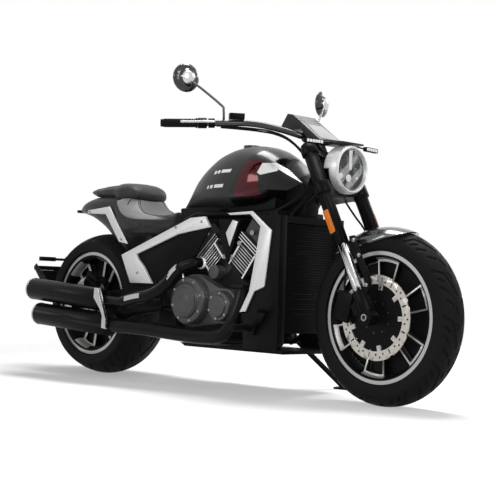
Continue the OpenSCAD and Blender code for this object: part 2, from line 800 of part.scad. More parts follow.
module headers() {
    color("#3a3a3c") {
        pipe(smooth([[768, -147.4, 520], [768, -153, 520], [764, -168, 519], [736, -187, 509], [694, -199, 486], [640, -214, 424], [570, -230, 380],
            [470, -243, 358], [380, -250, 339.3], [259.9, -250, 346.9]], 2), upper_pipe_r, pipe_wall, 20, [0, 1, 0.2]);
        pipe(smooth([[1028, -146, 420], [1028, -149, 396], [1026, -168, 335], [1000, -188, 255], [925, -194, 220], [745, -205, 220],
            [540, -232, 234], [400, -249, 236], [322, -250, 239.9]], 2), lower_pipe_r, pipe_wall, 20, [0, 1, 0.2]);
    }
}

// mufflers: tail x, tail z, front x, front z
muffler_rows = [[-243, 380, 259, 347], [-188, 266, 321, 240]];

module mufflers() {
    color("#151515") for (m = muffler_rows) difference() {
        rod([m[0], -250, m[1]], [m[2], -250, m[3]], muffler_r);
        rod([m[0] - 1, -250, m[1]], [m[2], -250, m[3]] - [muffler_wall, 0, 0], muffler_r - muffler_wall);
    }
}

module muffler_rings() {
    color("#d0d0d0") {
        for (m = muffler_rows) {
            back = [m[0], -250, m[1]];
            v = (back - [m[2], -250, m[3]]) / norm(back - [m[2], -250, m[3]]);
            difference() {
                rod(back + seat_gap * v, back + 9 * v, muffler_r + 1);
                rod(back - v, back + 12 * v, muffler_r - 8);
            }
        }
        plate(-300, -284) polygon([[262.6, 398], [286, 398], [348, 262], [348, 222], [320.9, 226], [323.4, 277],
            [306, 307], [260.2, 355]]);
    }
}

// body

// x, half width, bottom, widest height, top, squareness
tank_rows = [[556, 44, 752, 760, 776, 2], [600, 64, 748, 775, 832, 2], [640, 82, 746, 790, 886, 2],
    [680, 102, 746, 798, 920, 2], [740, 128, 746, 806, 958, 2], [800, 146, 748, 810, 986, 2.1],
    [880, 164, 748, 815, 1005, 2.2], [980, 172, 752, 820, 1011, 2.3], [1070, 168, 762, 830, 994, 2.3],
    [1150, 130, 790, 850, 945, 2.2]];

module tank() {
    color("#3b3b3d") body(tank_rows, 3, 32);
    color("#2a2a2a") translate([905, 0, 1002]) cylinder(h = 16, r = 34);
}

module tank_wings() {
    color("#0e0e10") both() {
        plate(176, 186) polygon([[1120, 880], [1150, 918], [1220, 916], [1290, 886], [1364, 832], [1290, 806],
            [1190, 812], [1140, 836]]);
        cross_rod(1132, 850, 144.3, 178, 10);
    }
}

seat_rows = [[250, 126, 650, 700, 784, 3], [300, 142, 634, 690, 780, 3], [350, 149, 628, 682, 756, 2.9],
    [410, 150, 625, 678, 734, 2.8], [480, 142, 640, 684, 732, 2.7], [546, 112, 672, 702, 750, 2.5]];
pillion_rows = [[-118, 40, 829, 835, 843, 2.4], [-60, 84, 826, 844, 866, 2.6], [20, 108, 806, 848, 880, 2.8],
    [100, 122, 796, 848, 889, 3], [180, 128, 790, 844, 889, 3], [240, 122, 790, 834, 872, 3],
    [270, 98, 794, 820, 846, 2.6]];
// height of the flat shelf under the pillion seat
shelf_z = 816;

module seats() {
    color("#1e1e20") {
        difference() {
            body(seat_rows, 3, 28);
            seat_rail(seat_gap);
        }
        difference() {
            body(pillion_rows, 3, 28);
            translate([-200, -200, shelf_z + seat_gap - 100]) cube([450, 400, 100]);
        }
    }
}

tail_rows = [[-211, 26, 752, 760, 768, 2.2], [-130, 76, 736, 768, 802, 2.4], [-40, 104, 712, 766, 822, 2.6],
    [60, 118, 664, 750, 830, 2.8], [150, 126, 600, 720, 828, 3], [249.7, 132, 530, 680, 824, 3.2]];

module tail() {
    color("#242426") difference() {
        body(tail_rows, 3, 28);
        on_rear_axle() cylinder(h = 400, r = rear_tyre_r + tread_gap, center = true, $fn = 96);
        translate([-300, -200, shelf_z]) cube([600, 400, 100]);
    }
}

module side_trims() {
    color("#c4c4c6") both() {
        plate(161, 174) polygon([[285, 548], [729, 707], [817, 712], [848, 668], [755, 654], [655, 639], [384, 551],
            [401, 530], [439, 498], [496, 426], [352, 425]]);
        plate(131.2, 137) polygon([[-13, 753], [141, 768], [280, 598], [219, 607], [116, 733], [-19, 739]]);
    }
}

module side_covers() {
    color("#151515") both() {
        plate(152, 161) polygon([[300, 546], [729, 700], [810, 705], [838, 668], [760, 560], [640, 446],
            [500, 440], [360, 440]]);
        cross_rod(592, 660, 120.4, 153, 12);
    }
}

module tail_lamp() {
    color("#8c1010") translate([-221.3, -42, 750]) cube([10, 84, 14]);
}

module plate_holder() {
    color("#161616") {
        on_rear_axle() rotate([0, 0, 142]) rotate_extrude(angle = 53) translate([rear_tyre_r + 16, -62]) square([4, 124]);
        both() plate(arm_out + seat_gap, 192) polygon([[-20, 305], [-20, 345], [-250, 430], [-330, 500], [-345, 480], [-260, 390]]);
        translate([-346, -190, 470]) cube([14, 380, 20]);
        translate([-345, -30, 470]) cube([50, 60, 10]);
        translate([-430, -90, 340]) cube([6, 180, 130]);
        translate([-425, -20, 460]) cube([90, 40, 12]);
        both() cross_rod(-282, 523, 58, 122, 6);
        both() translate([-294, 120, 513]) cube([24, 80, 20]);
    }
}

stance() front_tyre();
stance() front_wheel();
stance() front_rotors();
stance() rear_tyre();
stance() rear_wheel();
stance() rear_rotor();
stance() rear_pulley();
stance() fork_tubes();
stance() fork_sliders();
stance() fork_feet();
stance() yokes();
stance() front_axle();
stance() front_calipers();
stance() front_fender();
stance() on_nose() handlebar();
stance() on_nose() grips();
stance() on_nose() hand_controls();
stance() on_nose() levers();
stance() on_nose() mirrors();
stance() on_nose() headlamp_bezel();
stance() on_nose() headlamp_lens();
stance() headlamp_shell();
stance() dash();
stance() on_nose() front_signals();
stance() reflectors();
stance() frame();
stance() swingarm();
stance() rear_axle();
stance() crankcase();
stance() engine_covers();
stance() cylinders();
stance() intake();
stance() front_shrouds();
stance() radiator();
stance() radiator_shroud();
stance() tank();
stance() tank_wings();
stance() seats();
stance() tail();
stance() side_trims();
stance() side_covers();
stance() headers();
stance() mufflers();
stance() muffler_rings();
stance() tail_lamp();
stance() plate_holder();
stance() foot_controls();
stance() belt();
stance() side_stand();
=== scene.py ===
"""The looks of a V-twin power cruiser motorcycle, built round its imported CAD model."""

import json
import math

import bpy
import numpy
from mathutils import Matrix, Vector


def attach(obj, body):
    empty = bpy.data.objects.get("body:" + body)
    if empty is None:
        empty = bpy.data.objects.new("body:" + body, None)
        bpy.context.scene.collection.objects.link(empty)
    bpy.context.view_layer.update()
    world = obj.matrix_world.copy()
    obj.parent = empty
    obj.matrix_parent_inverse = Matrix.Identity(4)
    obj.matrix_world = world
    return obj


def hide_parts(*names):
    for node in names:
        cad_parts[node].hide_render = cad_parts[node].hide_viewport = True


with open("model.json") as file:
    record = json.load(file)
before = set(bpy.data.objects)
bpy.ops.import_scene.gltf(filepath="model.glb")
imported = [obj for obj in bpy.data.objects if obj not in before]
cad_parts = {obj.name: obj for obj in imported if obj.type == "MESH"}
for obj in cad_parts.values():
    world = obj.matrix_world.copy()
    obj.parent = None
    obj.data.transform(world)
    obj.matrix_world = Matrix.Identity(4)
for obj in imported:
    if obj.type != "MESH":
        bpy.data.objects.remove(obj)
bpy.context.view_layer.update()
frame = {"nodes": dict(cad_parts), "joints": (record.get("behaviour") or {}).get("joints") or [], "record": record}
nodes = frame["nodes"]
record = frame["record"]
slot_of = {row["node"]: row["material_slot"] for row in record["subparts"]}
body_of = {node: body for body, members in record["behaviour"]["bodies"].items() for node in members}
joint_of = {joint["name"]: joint for joint in frame["joints"]}

# Pieces are drawn on the upright bike: x from the rear axle forward, y left, z up. Hubs: x and z in mm.
MM = 0.001
FRONT_HUB = (1650, 332.1)
REAR_HUB = (0, 324.86)
rear_spin = joint_of["rear_wheel_spin"]
LEAN = math.atan2(-rear_spin["axis"][2], rear_spin["axis"][1])
ROW = (Matrix.Translation(rear_spin["pos_m"]) @ Matrix.Rotation(-LEAN, 4, "X")
       @ Matrix.Translation((0, 0, -REAR_HUB[1] * MM)))


def bike(x, y, z):
    """A point given in millimetres on the upright bike, as a point of the row frame in metres."""
    return ROW @ Vector((x * MM, y * MM, z * MM))


# Camera, light and floor

CAMERA_AT = (3.71874, -3.64836, 0.63054)
CAMERA_YAW = math.radians(44.65)
CAMERA_PITCH = math.radians(-0.07)
FOCAL_PX = 1218.87
IMAGE_W = 500


def make_camera():
    data = bpy.data.cameras.new("camera")
    data.sensor_fit = "HORIZONTAL"
    data.sensor_width = 36.0
    data.lens = FOCAL_PX * data.sensor_width / IMAGE_W
    camera = bpy.data.objects.new("camera", data)
    camera.location = CAMERA_AT
    look = Vector((-math.sin(CAMERA_YAW) * math.cos(CAMERA_PITCH),
                   math.cos(CAMERA_YAW) * math.cos(CAMERA_PITCH), math.sin(CAMERA_PITCH)))
    camera.rotation_mode = "QUATERNION"
    camera.rotation_quaternion = look.to_track_quat("-Z", "Y")
    bpy.context.scene.collection.objects.link(camera)
    bpy.context.scene.camera = camera


def soft_box(name, at, target, size, watts, shadow=False):
    data = bpy.data.lights.new(name, "AREA")
    data.shape = "RECTANGLE"
    data.size, data.size_y = size
    data.energy = watts
    data.use_shadow = shadow
    lamp = bpy.data.objects.new(name, data)
    lamp.location = at
    lamp.rotation_mode = "QUATERNION"
    lamp.rotation_quaternion = (Vector(target) - Vector(at)).to_track_quat("-Z", "Y")
    bpy.context.scene.collection.objects.link(lamp)


WORLD_LIGHT = 0.24


def make_light():
    world = bpy.data.worlds.new("studio")
    bpy.context.scene.world = world
    world.use_nodes = True
    tree = world.node_tree
    background = tree.nodes["Background"]
    path = tree.nodes.new("ShaderNodeLightPath")
    seen = path.outputs["Is Camera Ray"]
    for name in ("Is Glossy Ray", "Is Transmission Ray"):
        either = tree.nodes.new("ShaderNodeMath")
        either.operation = "MAXIMUM"
        tree.links.new(seen, either.inputs[0])
        tree.links.new(path.outputs[name], either.inputs[1])
        seen = either.outputs[0]
    strength = tree.nodes.new("ShaderNodeMapRange")
    strength.inputs["To Min"].default_value = WORLD_LIGHT
    strength.inputs["To Max"].default_value = 1.0
    tree.links.new(seen, strength.inputs["Value"])
    tree.links.new(strength.outputs[0], background.inputs["Strength"])
    background.inputs["Color"].default_value = (1, 1, 1, 1)
    soft_box("top_light", (0.1, 0.7, 3.6), (0.1, 0, 0.3), (2.6, 1.0), 130, True)
    soft_box("front_light", (3.6, -1.0, 2.2), (0.5, 0, 0.6), (1.4, 1.8), 60)
    soft_box("side_light", (-0.6, -4.0, 2.4), (0, 0, 0.5), (2.4, 1.2), 70)
    soft_box("left_light", (0.4, 4.0, 2.6), (0, 0, 0.5), (2.6, 1.4), 60)


FLOOR_R = 9.0


def make_floor():
    bpy.ops.object.select_all(action="DESELECT")
    bpy.ops.mesh.primitive_circle_add(vertices=96, radius=FLOOR_R, fill_type="NGON", location=(0, 0, -0.0005))
    floor = bpy.context.object
    floor.name = "floor"
    paint = Paint("floor_white", roughness=0.9, specular=0.0)
    place = paint.node("TexCoord", out="Object")
    far = paint.node("VectorMath", {"operation": "LENGTH"}, {0: place}, out="Value")
    speckle = paint.noise(900, 2)
    paint.feed("Base Color", paint.mix((0.86, 0.86, 0.86), (0.9, 0.9, 0.9), speckle))
    clear = paint.node("BsdfTransparent")
    edge = paint.ramp(far, 1.5, 2.6)
    blend = paint.node("MixShader", None, {0: edge, 1: paint.shader.outputs[0], 2: clear})
    paint.tree.links.new(blend.socket, paint.output.inputs["Surface"])
    floor.data.materials.append(paint.material)


# Materials

class Value:
    """A socket of a material's nodes on which Python's operators do maths."""

    def __init__(self, paint, socket):
        self.paint = paint
        self.socket = socket

    def maths(self, operation, *values):
        return self.paint.node("Math", {"operation": operation}, dict(enumerate(values)))

    def __add__(self, other):
        return self.maths("ADD", self, other)

    def __sub__(self, other):
        return self.maths("SUBTRACT", self, other)

    def __rsub__(self, other):
        return self.maths("SUBTRACT", other, self)

    def __mul__(self, other):
        return self.maths("MULTIPLY", self, other)

    def __truediv__(self, other):
        return self.maths("DIVIDE", self, other)

    def __abs__(self):
        return self.maths("ABSOLUTE", self)

    def __pow__(self, other):
        return self.maths("POWER", self, other)

    def sine(self):
        return self.maths("SINE", self)

    def cosine(self):
        return self.maths("COSINE", self)

    def root(self):
        return self.maths("SQRT", self)

    def angle_from(self, across):
        return self.maths("ARCTAN2", self, across)

    def folded(self, half):
        return self.maths("PINGPONG", self, half)

    def largest(self, other):
        return self.maths("MAXIMUM", self, other)


IOR = 1.45


class Paint:
    """One material: a Principled shader, with methods that add the nodes behind its sockets."""

    def __init__(self, name, color=(0.5, 0.5, 0.5), roughness=0.5, metallic=0.0, specular=0.5, coat=0.0,
                 coat_roughness=0.05, sheen=0.0):
        self.material = bpy.data.materials.new(name)
        self.material.use_nodes = True
        self.tree = self.material.node_tree
        self.shader = self.tree.nodes["Principled BSDF"]
        self.output = self.tree.nodes["Material Output"]
        constants = {"Base Color": (*color, 1), "Roughness": roughness, "Metallic": metallic,
                     "Specular IOR Level": specular, "Coat Weight": coat, "Coat Roughness": coat_roughness,
                     "IOR": IOR, "Sheen Weight": sheen}
        for socket, value in constants.items():
            self.shader.inputs[socket].default_value = value
        self.material.diffuse_color = (*color, 1)

    def node(self, kind, settings=None, sockets=None, out=0):
        made = self.tree.nodes.new("ShaderNode" + kind)
        for name, value in (settings or {}).items():
            setattr(made, name, value)
        for name, value in (sockets or {}).items():
            self.join(value, made.inputs[name])
        return Value(self, made.outputs[out])

    def join(self, value, socket):
        if isinstance(value, Value):
            self.tree.links.new(value.socket, socket)
        elif isinstance(value, bpy.types.NodeSocket):
            self.tree.links.new(value, socket)
        elif isinstance(value, (tuple, list)) and socket.type == "RGBA":
            socket.default_value = (*value[:3], 1)
        else:
            socket.default_value = value

    def feed(self, socket, value):
        self.join(value, self.shader.inputs[socket])

    def place(self):
        """Object coordinates on the upright bike, in metres from the ground under its rear axle."""
        back = ROW.inverted()
        return self.node("Mapping", None, {"Vector": self.node("TexCoord", out="Object"),
                                           "Location": back.translation, "Rotation": (LEAN, 0, 0)})

    def axes(self):
        parts = self.node("SeparateXYZ", None, {0: self.place()}).socket.node
        return [Value(self, parts.outputs[k]) for k in range(3)]

    def noise(self, scale, detail=3, stretch=None):
        vector = self.place()
        if stretch:
            vector = self.node("VectorMath", {"operation": "MULTIPLY"}, {0: vector, 1: stretch})
        return self.node("TexNoise", None, {"Vector": vector, "Scale": scale, "Detail": detail}, "Fac")

    def cells(self, scale, out="Distance"):
        return self.node("TexVoronoi", None, {"Vector": self.place(), "Scale": scale}, out)

    def mix(self, first, second, share):
        return self.node("Mix", {"data_type": "RGBA"}, {0: share, 6: first, 7: second}, 2)

    def ramp(self, value, low, high, to_low=0.0, to_high=1.0):
        return self.node("MapRange", {"interpolation_type": "SMOOTHSTEP"},
                         {0: value, 1: low, 2: high, 3: to_low, 4: to_high})

    def between(self, value, low, high, soft=0.0004):
        rise = self.ramp(value, low - soft, low + soft)
        return rise * (1 - self.ramp(value, high - soft, high + soft))

    def right_of(self, across, up, start, end, soft=0.0006):
        """1 on the right of the line from start to end, in a view with across to the right and up upwards."""
        run = Vector(end) - Vector(start)
        normal = Vector((run.y, -run.x)).normalized()
        distance = across * normal.x + up * normal.y - normal.dot(Vector(start))
        return self.ramp(distance, -soft, soft)

    def patch(self, across, up, corners, soft=0.0006):
        """1 inside a convex patch whose corners, in metres, go clockwise."""
        inside = None
        for start, end in zip(corners, corners[1:] + corners[:1]):
            side = self.right_of(across, up, start, end, soft)
            inside = side if inside is None else inside * side
        return inside

    def bump(self, height, depth, strength=1.0):
        sockets = {"Height": height, "Distance": depth, "Strength": strength}
        self.feed("Normal", self.node("Bump", None, sockets))


def grained(name, color, roughness, grain=900, depth=0.00012, spread=0.35, **constants):
    """A moulded or cast finish: a colour that drifts a little, and a fine grain."""
    paint = Paint(name, color, roughness, **constants)
    drift = paint.noise(7, 4)
    fine = paint.noise(grain, 2)
    lighter = tuple(min(1.0, c * (1 + spread)) for c in color)
    paint.feed("Base Color", paint.mix(color, lighter, drift))
    paint.feed("Roughness", paint.ramp(drift, 0.2, 0.8, roughness - 0.06, roughness + 0.06))
    paint.bump(fine, depth)
    return paint


def lacquer(name, color, roughness=0.22, coat=1.0, flake=0.0, **constants):
    """Gloss paint under a clear coat, with a fine flake."""
    paint = Paint(name, color, roughness, coat=coat, coat_roughness=0.03, **constants)
    specks = paint.cells(1600, "Color")
    glint = paint.node("SeparateColor", None, {0: specks})
    paint.feed("Base Color", paint.mix(color, tuple(min(1.0, c * 1.6 + flake) for c in color), glint))
    paint.bump(paint.noise(16, 2), 0.00025)
    return paint


def brushed(name, color, roughness, stretch, **constants):
    """Metal with fine lines along the direction that stretch leaves long."""
    paint = Paint(name, color, roughness, metallic=1.0, **constants)
    lines = paint.noise(40, 4, stretch)
    paint.feed("Base Color", paint.mix(tuple(c * 0.82 for c in color), color, lines))
    paint.feed("Roughness", paint.ramp(lines, 0.25, 0.75, roughness - 0.07, roughness + 0.09))
    paint.bump(lines, 0.00005)
    return paint


BLACK = (0.012, 0.012, 0.0125)


def silver_paint(name):
    return lacquer(name, (0.42, 0.42, 0.423), 0.42, coat=0.1, flake=0.04, metallic=0.35)


def wheel_paint(name, hub, rim, faces, lip, turn, wide=0.0085):
    """A black cast wheel: its rim lips and a line round each forked spoke are machined bright."""
    paint = Paint(name, BLACK, 0.4, specular=0.08)
    x, y, z = paint.axes()
    along, up = x - hub[0] * MM, z - hub[1] * MM
    radius = (along * along + up * up).root()
    angle = (up.angle_from(along) - math.radians(turn)).folded(math.radians(30))
    reach, half = rim - 0.018, math.radians(13)
    start, end = Vector((0.030, 0.017)), Vector((reach * math.cos(half), reach * math.sin(half)))
    normal = Vector((start.y - end.y, end.x - start.x)).normalized()
    over = radius * angle.cosine() * normal.x + radius * angle.sine() * normal.y - normal.dot(start)
    leg = paint.between(over, 0.002 - wide, 0.002) * paint.ramp(radius, 0.118, 0.12)
    arc = paint.between(radius, reach - 0.013, reach + 0.002) * (1 - paint.ramp(over, 0.001, 0.002))
    face = (1 - paint.ramp(y, faces[0] + 0.0004, faces[0] + 0.001)).largest(
        paint.ramp(y, faces[1] - 0.001, faces[1] - 0.0004))
    inside = 1 - paint.ramp(radius, reach + 0.002, reach + 0.003)
    frames = leg.largest(arc) * face * inside
    lips = paint.between(radius, rim - 0.007, rim + 0.007) * paint.ramp(abs(y), lip - 0.0015, lip - 0.001)
    bright = frames.largest(lips)
    turning = paint.noise(300, 2)
    paint.feed("Base Color", paint.mix((0.0026, 0.0026, 0.0028), (0.36, 0.355, 0.345), bright))
    paint.feed("Metallic", bright * 0.75)
    paint.feed("Roughness", paint.ramp(turning, 0.3, 0.7, 0.32, 0.42))
    paint.bump(turning, 0.00004)
    return paint


def mirror_shell():
    """Gloss black mirror backs with a silver cap round the stem."""
    paint = Paint("mirror_shell", BLACK, 0.2, specular=0.4, coat=0.6)
    x, y, z = paint.axes()
    side = abs(y)
    dx, dy, dz = x - 0.946, side - 0.4115, z - 1.245
    near = (dx * dx + dy * dy + dz * dz).root()
    cap = (1 - paint.ramp(near, 0.026, 0.0265)) * paint.ramp(x + side * 0.25, 1.043, 1.0445)
    paint.feed("Base Color", paint.mix((0.006, 0.006, 0.0065), (0.6, 0.6, 0.6), cap))
    paint.feed("Metallic", cap * 0.7)
    return paint


def dash_paint():
    """A black instrument housing whose sloping front is satin grey."""
    paint = Paint("dash_paint", BLACK, 0.4, specular=0.25)
    x, y, z = paint.axes()
    start, end = Vector((1.195, 1.122)), Vector((1.345, 1.014))
    normal = Vector((start.y - end.y, end.x - start.x)).normalized()
    over = x * normal.x + z * normal.y - normal.dot(start)
    front = paint.ramp(over, -0.0016, -0.0008) * paint.between(x, 1.197, 1.35)
    grain = paint.noise(900, 2)
    teeth = paint.ramp((x * 420).sine(), 0.0, 0.3) * paint.between(z, 1.086, 1.113)
    teeth = teeth * paint.ramp(abs(y), 0.03, 0.031)
    grey = paint.mix((0.16, 0.16, 0.165), (0.05, 0.05, 0.052), teeth)
    paint.feed("Base Color", paint.mix((0.008, 0.008, 0.0085), grey, front))
    paint.feed("Metallic", front * 0.5)
    paint.feed("Roughness", paint.ramp(grain, 0.3, 0.7, 0.36, 0.46))
    paint.bump(grain, 0.00006)
    return paint


def rotor_steel():
    paint = Paint("rotor_steel", (0.5, 0.46, 0.42), 0.34, metallic=0.9)
    stain = paint.noise(60, 4)
    lines = paint.noise(500, 2)
    paint.feed("Base Color", paint.mix((0.34, 0.32, 0.295), (0.46, 0.435, 0.405), stain))
    paint.feed("Roughness", paint.ramp(lines, 0.3, 0.7, 0.3, 0.46))
    paint.bump(lines, 0.00004)
    return paint


FIN_FACE = 0.1345


def finned_black():
    """Black cylinders whose fin faces and corner rails are machined bright."""
    paint = Paint("finned_black", BLACK, 0.5)
    x, y, z = paint.axes()
    bright = paint.ramp(abs(y), FIN_FACE - 0.0003, FIN_FACE + 0.0003)
    grain = paint.noise(800, 3)
    paint.feed("Base Color", paint.mix((0.011, 0.011, 0.0115), (0.62, 0.62, 0.62), bright))
    paint.feed("Metallic", bright * 0.9)
    paint.feed("Roughness", paint.ramp(grain, 0.3, 0.7, 0.34, 0.5))
    paint.bump(grain, 0.00012)
    return paint


def tank_paint():
    """Matt grey side panels with white bars, a candy red patch, and a black band of painted shade in the gap
    behind the wing.
    """
    # the third colour, near black, is painted shade for the shadow in the gap behind the grey panel
    grey, red, black = (0.014, 0.014, 0.0148), (0.05, 0.0012, 0.003), (0.003, 0.003, 0.0033)
    paint = Paint("tank_paint", grey, 0.42, specular=0.22, coat_roughness=0.06)
    x, y, z = paint.axes()
    side = paint.ramp(abs(y), 0.055, 0.06)
    # Painted shade: this mask turns the tank black right of the line, for the shadow in the gap between the grey
    # panel and the red patch.
    gap_shade = paint.right_of(x, z, (0.935, 0.780), (1.000, 0.905))
    candy = paint.right_of(x, z, (0.970, 0.780), (1.014, 0.912)) * side * paint.ramp(z, 0.786, 0.788)
    candy = candy * (1 - paint.ramp(z, 0.936, 0.938)) * (1 - paint.ramp(x, 1.098, 1.1))
    bars = None
    for start, end, low in ((0.828, 0.846, 0.889), (0.854, 0.872, 0.8905), (0.882, 0.944, 0.892),
                            (0.789, 0.802, 0.829), (0.813, 0.834, 0.830), (0.846, 0.908, 0.831)):
        corners = [(start, low), (start + 0.006, low + 0.0135), (end + 0.006, low + 0.0135), (end, low)]
        bar = paint.patch(x, z, corners)
        bars = bar if bars is None else bars.largest(bar)
    bars = bars * side
    flakes = paint.noise(1500, 2)
    matt = paint.mix(grey, (0.024, 0.024, 0.025), flakes)
    colour = paint.mix(paint.mix(matt, black, gap_shade), red, candy)
    paint.feed("Base Color", paint.mix(colour, (0.75, 0.75, 0.75), bars))
    gloss = candy.largest(gap_shade * 0.6)
    paint.feed("Roughness", paint.ramp(gloss, 0, 1, 0.42, 0.16))
    paint.feed("Coat Weight", gloss * 0.35)
    paint.feed("Metallic", candy * 0.6)
    paint.bump(flakes, 0.00003)
    return paint


# plan of the rider's dish, a rounded box in metres, and the line on the flank under which the band ends
BAND_AT = (0.42, 0.0)
BAND_HALF = (0.185, 0.110)
BAND_POWER = 2.4
BAND_EDGES = (0.86, 1.0)
BAND_LOW, BAND_RISE, BAND_BACK, BAND_RUN = 0.706, 0.094, 0.187, 0.042


def leather(name="seat_leather", banded=False):
    """Grained leather; the rider's has a paler band round its dish."""
    paint = Paint(name, (0.03, 0.03, 0.031), 0.5, specular=0.22, sheen=0.04)
    pores = paint.cells(420)
    drift = paint.noise(9, 4)
    base = paint.mix((0.012, 0.012, 0.0125), (0.022, 0.022, 0.0225), drift)
    if banded:
        x, y, z = paint.axes()
        run = abs(x - BAND_AT[0]) / BAND_HALF[0]
        span = abs(y) / BAND_HALF[1]
        ring = run ** BAND_POWER + span ** BAND_POWER
        low = (x * -1 + BAND_BACK) / BAND_RUN
        over = z - (low.maths("EXPONENT", low) * BAND_RISE + BAND_LOW)
        top = paint.ramp(over, -0.001, 0.001) * (1 - paint.ramp(x, 0.43, 0.52))
        dish = paint.mix(base, (0.085, 0.085, 0.086), top)
        band = paint.mix(base, (0.2, 0.2, 0.201), top)
        base = paint.mix(dish, band, paint.ramp(ring, 0.98, 1.0))
    paint.feed("Base Color", base)
    paint.feed("Roughness", paint.ramp(drift, 0.2, 0.8, 0.42, 0.58))
    paint.bump(pores + paint.noise(150, 3) * 0.4, 0.0004, 0.5)
    return paint


def wing_black_and_painted_highlight():
    """Gloss black tank wings with a painted highlight, light grey and metallic, along the upper edge."""
    paint = Paint("wing_black_and_painted_highlight", BLACK, 0.22, specular=0.2, coat_roughness=0.05)
    x, y, z = paint.axes()
    # Painted highlight: two patches along the upper edge, front and back, painted light grey and metallic.
    front = paint.patch(x, z, [(1.220, 0.917), (1.290, 0.887), (1.364, 0.833), (1.228, 0.894)])
    back = paint.patch(x, z, [(1.122, 0.882), (1.150, 0.919), (1.222, 0.917), (1.236, 0.884), (1.140, 0.872)])
    bright = front.largest(back)
    grain = paint.noise(900, 2)
    paint.feed("Base Color", paint.mix((0.004, 0.004, 0.0044), (0.7, 0.7, 0.7), bright))
    paint.feed("Metallic", bright * 0.8)
    paint.feed("Roughness", paint.ramp(grain, 0.3, 0.7, 0.2, 0.26))
    return paint


def lens_glass(name, color):
    """A thin clear cover, seen through but for a faint tint and its shine."""
    paint = Paint(name, color, 0.03, specular=0.12)
    paint.shader.inputs["Alpha"].default_value = 0.12
    paint.bump(paint.noise(30, 1), 0.00006)
    return paint


def prism_plastic(name, color, roughness, coat):
    """A moulded reflector with a fine prism pattern."""
    paint = Paint(name, color, roughness, specular=0.2, coat=coat, coat_roughness=0.1)
    prisms = paint.cells(420)
    paint.feed("Base Color", paint.mix(color, tuple(c * 0.5 for c in color), prisms))
    paint.bump(prisms, 0.0005)
    return paint


PAINTS = {}


def make_paints():
    """One finish for each of the record's material slots, then those of single nodes."""
    PAINTS.update({
        "tyre": grained("tyre_rubber", (0.004, 0.004, 0.0041), 0.6, 700, 0.0001, 0.5, specular=0.08),
        "cast_black": grained("cast_black", (0.0026, 0.0026, 0.0028), 0.36, 1100, 0.00005, specular=0.06),
        "brake_steel": rotor_steel(),
        "chrome": Paint("chrome", (0.4, 0.4, 0.405), 0.16, metallic=1.0),
        "axle_steel": brushed("axle_steel", (0.28, 0.28, 0.285), 0.3, (1, 0.05, 1)),
        "gloss_black": lacquer("gloss_black", (0.005, 0.005, 0.0055), 0.2, flake=0.004),
        "bar_metal": Paint("bar_metal", (0.05, 0.05, 0.052), 0.24, metallic=0.9),
        "rubber": grained("grip_rubber", (0.006, 0.006, 0.006), 0.75, 500, 0.0002, specular=0.07),
        "plastic_black": grained("plastic_black", (0.0024, 0.0024, 0.0026), 0.44, 900, 0.0001, specular=0.06),
        "silver": silver_paint("silver_satin"),
        "silver_plastic": silver_paint("silver_shroud"),
        "lens": lens_glass("lamp_glass", (0.3, 0.31, 0.32)),
        "dash_grey": dash_paint(),
        "amber": prism_plastic("amber_reflector", (0.78, 0.2, 0.0), 0.3, 0.1),
        "frame_black": grained("frame_black", (0.0026, 0.0026, 0.0028), 0.4, 700, 0.0001, specular=0.06),
        "engine_black": grained("engine_black", (0.0045, 0.0045, 0.0047), 0.5, 600, 0.0003, specular=0.1),
        "engine_grey": grained("engine_grey", (0.05, 0.049, 0.05), 0.4, 900, 0.00012, metallic=0.5,
                               specular=0.3),
        "radiator_metal": grained("radiator_metal", (0.002, 0.002, 0.002), 0.6, 500, 0.0002, specular=0.05),
        "tank_paint": tank_paint(),
        "seat_leather": leather(),
        "tail_paint": grained("tail_paint", (0.012, 0.012, 0.0125), 0.4, 1400, 0.00004, specular=0.2),
        "exhaust_black": grained("exhaust_black", (0.0028, 0.0028, 0.003), 0.3, 1000, 0.00006, specular=0.1),
        "red_lens": prism_plastic("red_lens", (0.04, 0.001, 0.001), 0.2, 0.3),
        "cylinders": finned_black(),
        "front_wheel": wheel_paint("front_wheel_paint", FRONT_HUB, 0.241, (-0.035, 0.035), 0.052, 23),
        "rear_wheel": wheel_paint("rear_wheel_paint", REAR_HUB, 0.2286, (-0.057, 0.013), 0.108, 10, 0.026),
        "mirrors": mirror_shell(),
        "tank_wings": wing_black_and_painted_highlight(),
        "lamp_bowl": grained("lamp_bowl", (0.03, 0.03, 0.031), 0.5, 500, 0.0001, specular=0.1),
        "dash_panel": grained("dash_panel", (0.3, 0.3, 0.305), 0.5, 900, 0.00005, 0.1, specular=0.2),
        "rider_seat": leather("rider_seat_leather", True),
        "lamp_light": Paint("lamp_light", (0.9, 0.9, 0.9), 0.3),
    })


# Building tools

SMOOTH_ANGLE = 35
EDGE_SEGMENTS = 2
EDGE_ANGLE = math.radians(38)


def forget_selection():
    if bpy.context.object and bpy.context.object.mode != "OBJECT":
        bpy.ops.object.mode_set(mode="OBJECT")
    bpy.ops.object.select_all(action="DESELECT")


def select_only(piece):
    forget_selection()
    piece.select_set(True)
    bpy.context.view_layer.objects.active = piece


def edit_all():
    """Opens the active piece in edit mode with everything selected."""
    bpy.ops.object.mode_set(mode="EDIT")
    bpy.ops.mesh.select_all(action="SELECT")


def close_edit():
    """Turns every face outward and leaves edit mode."""
    bpy.ops.mesh.select_all(action="SELECT")
    bpy.ops.mesh.normals_make_consistent(inside=False)
    bpy.ops.object.mode_set(mode="OBJECT")


def modified(piece, kind, **settings):
    """Gives a piece a modifier with these settings and applies it."""
    select_only(piece)
    modifier = piece.modifiers.new(kind.lower(), kind)
    for name, value in settings.items():
        setattr(modifier, name, value)
    bpy.ops.object.modifier_apply(modifier=modifier.name)


def round_edges(piece, width):
    modified(piece, "BEVEL", width=width, segments=EDGE_SEGMENTS, limit_method="ANGLE",
             angle_limit=EDGE_ANGLE)


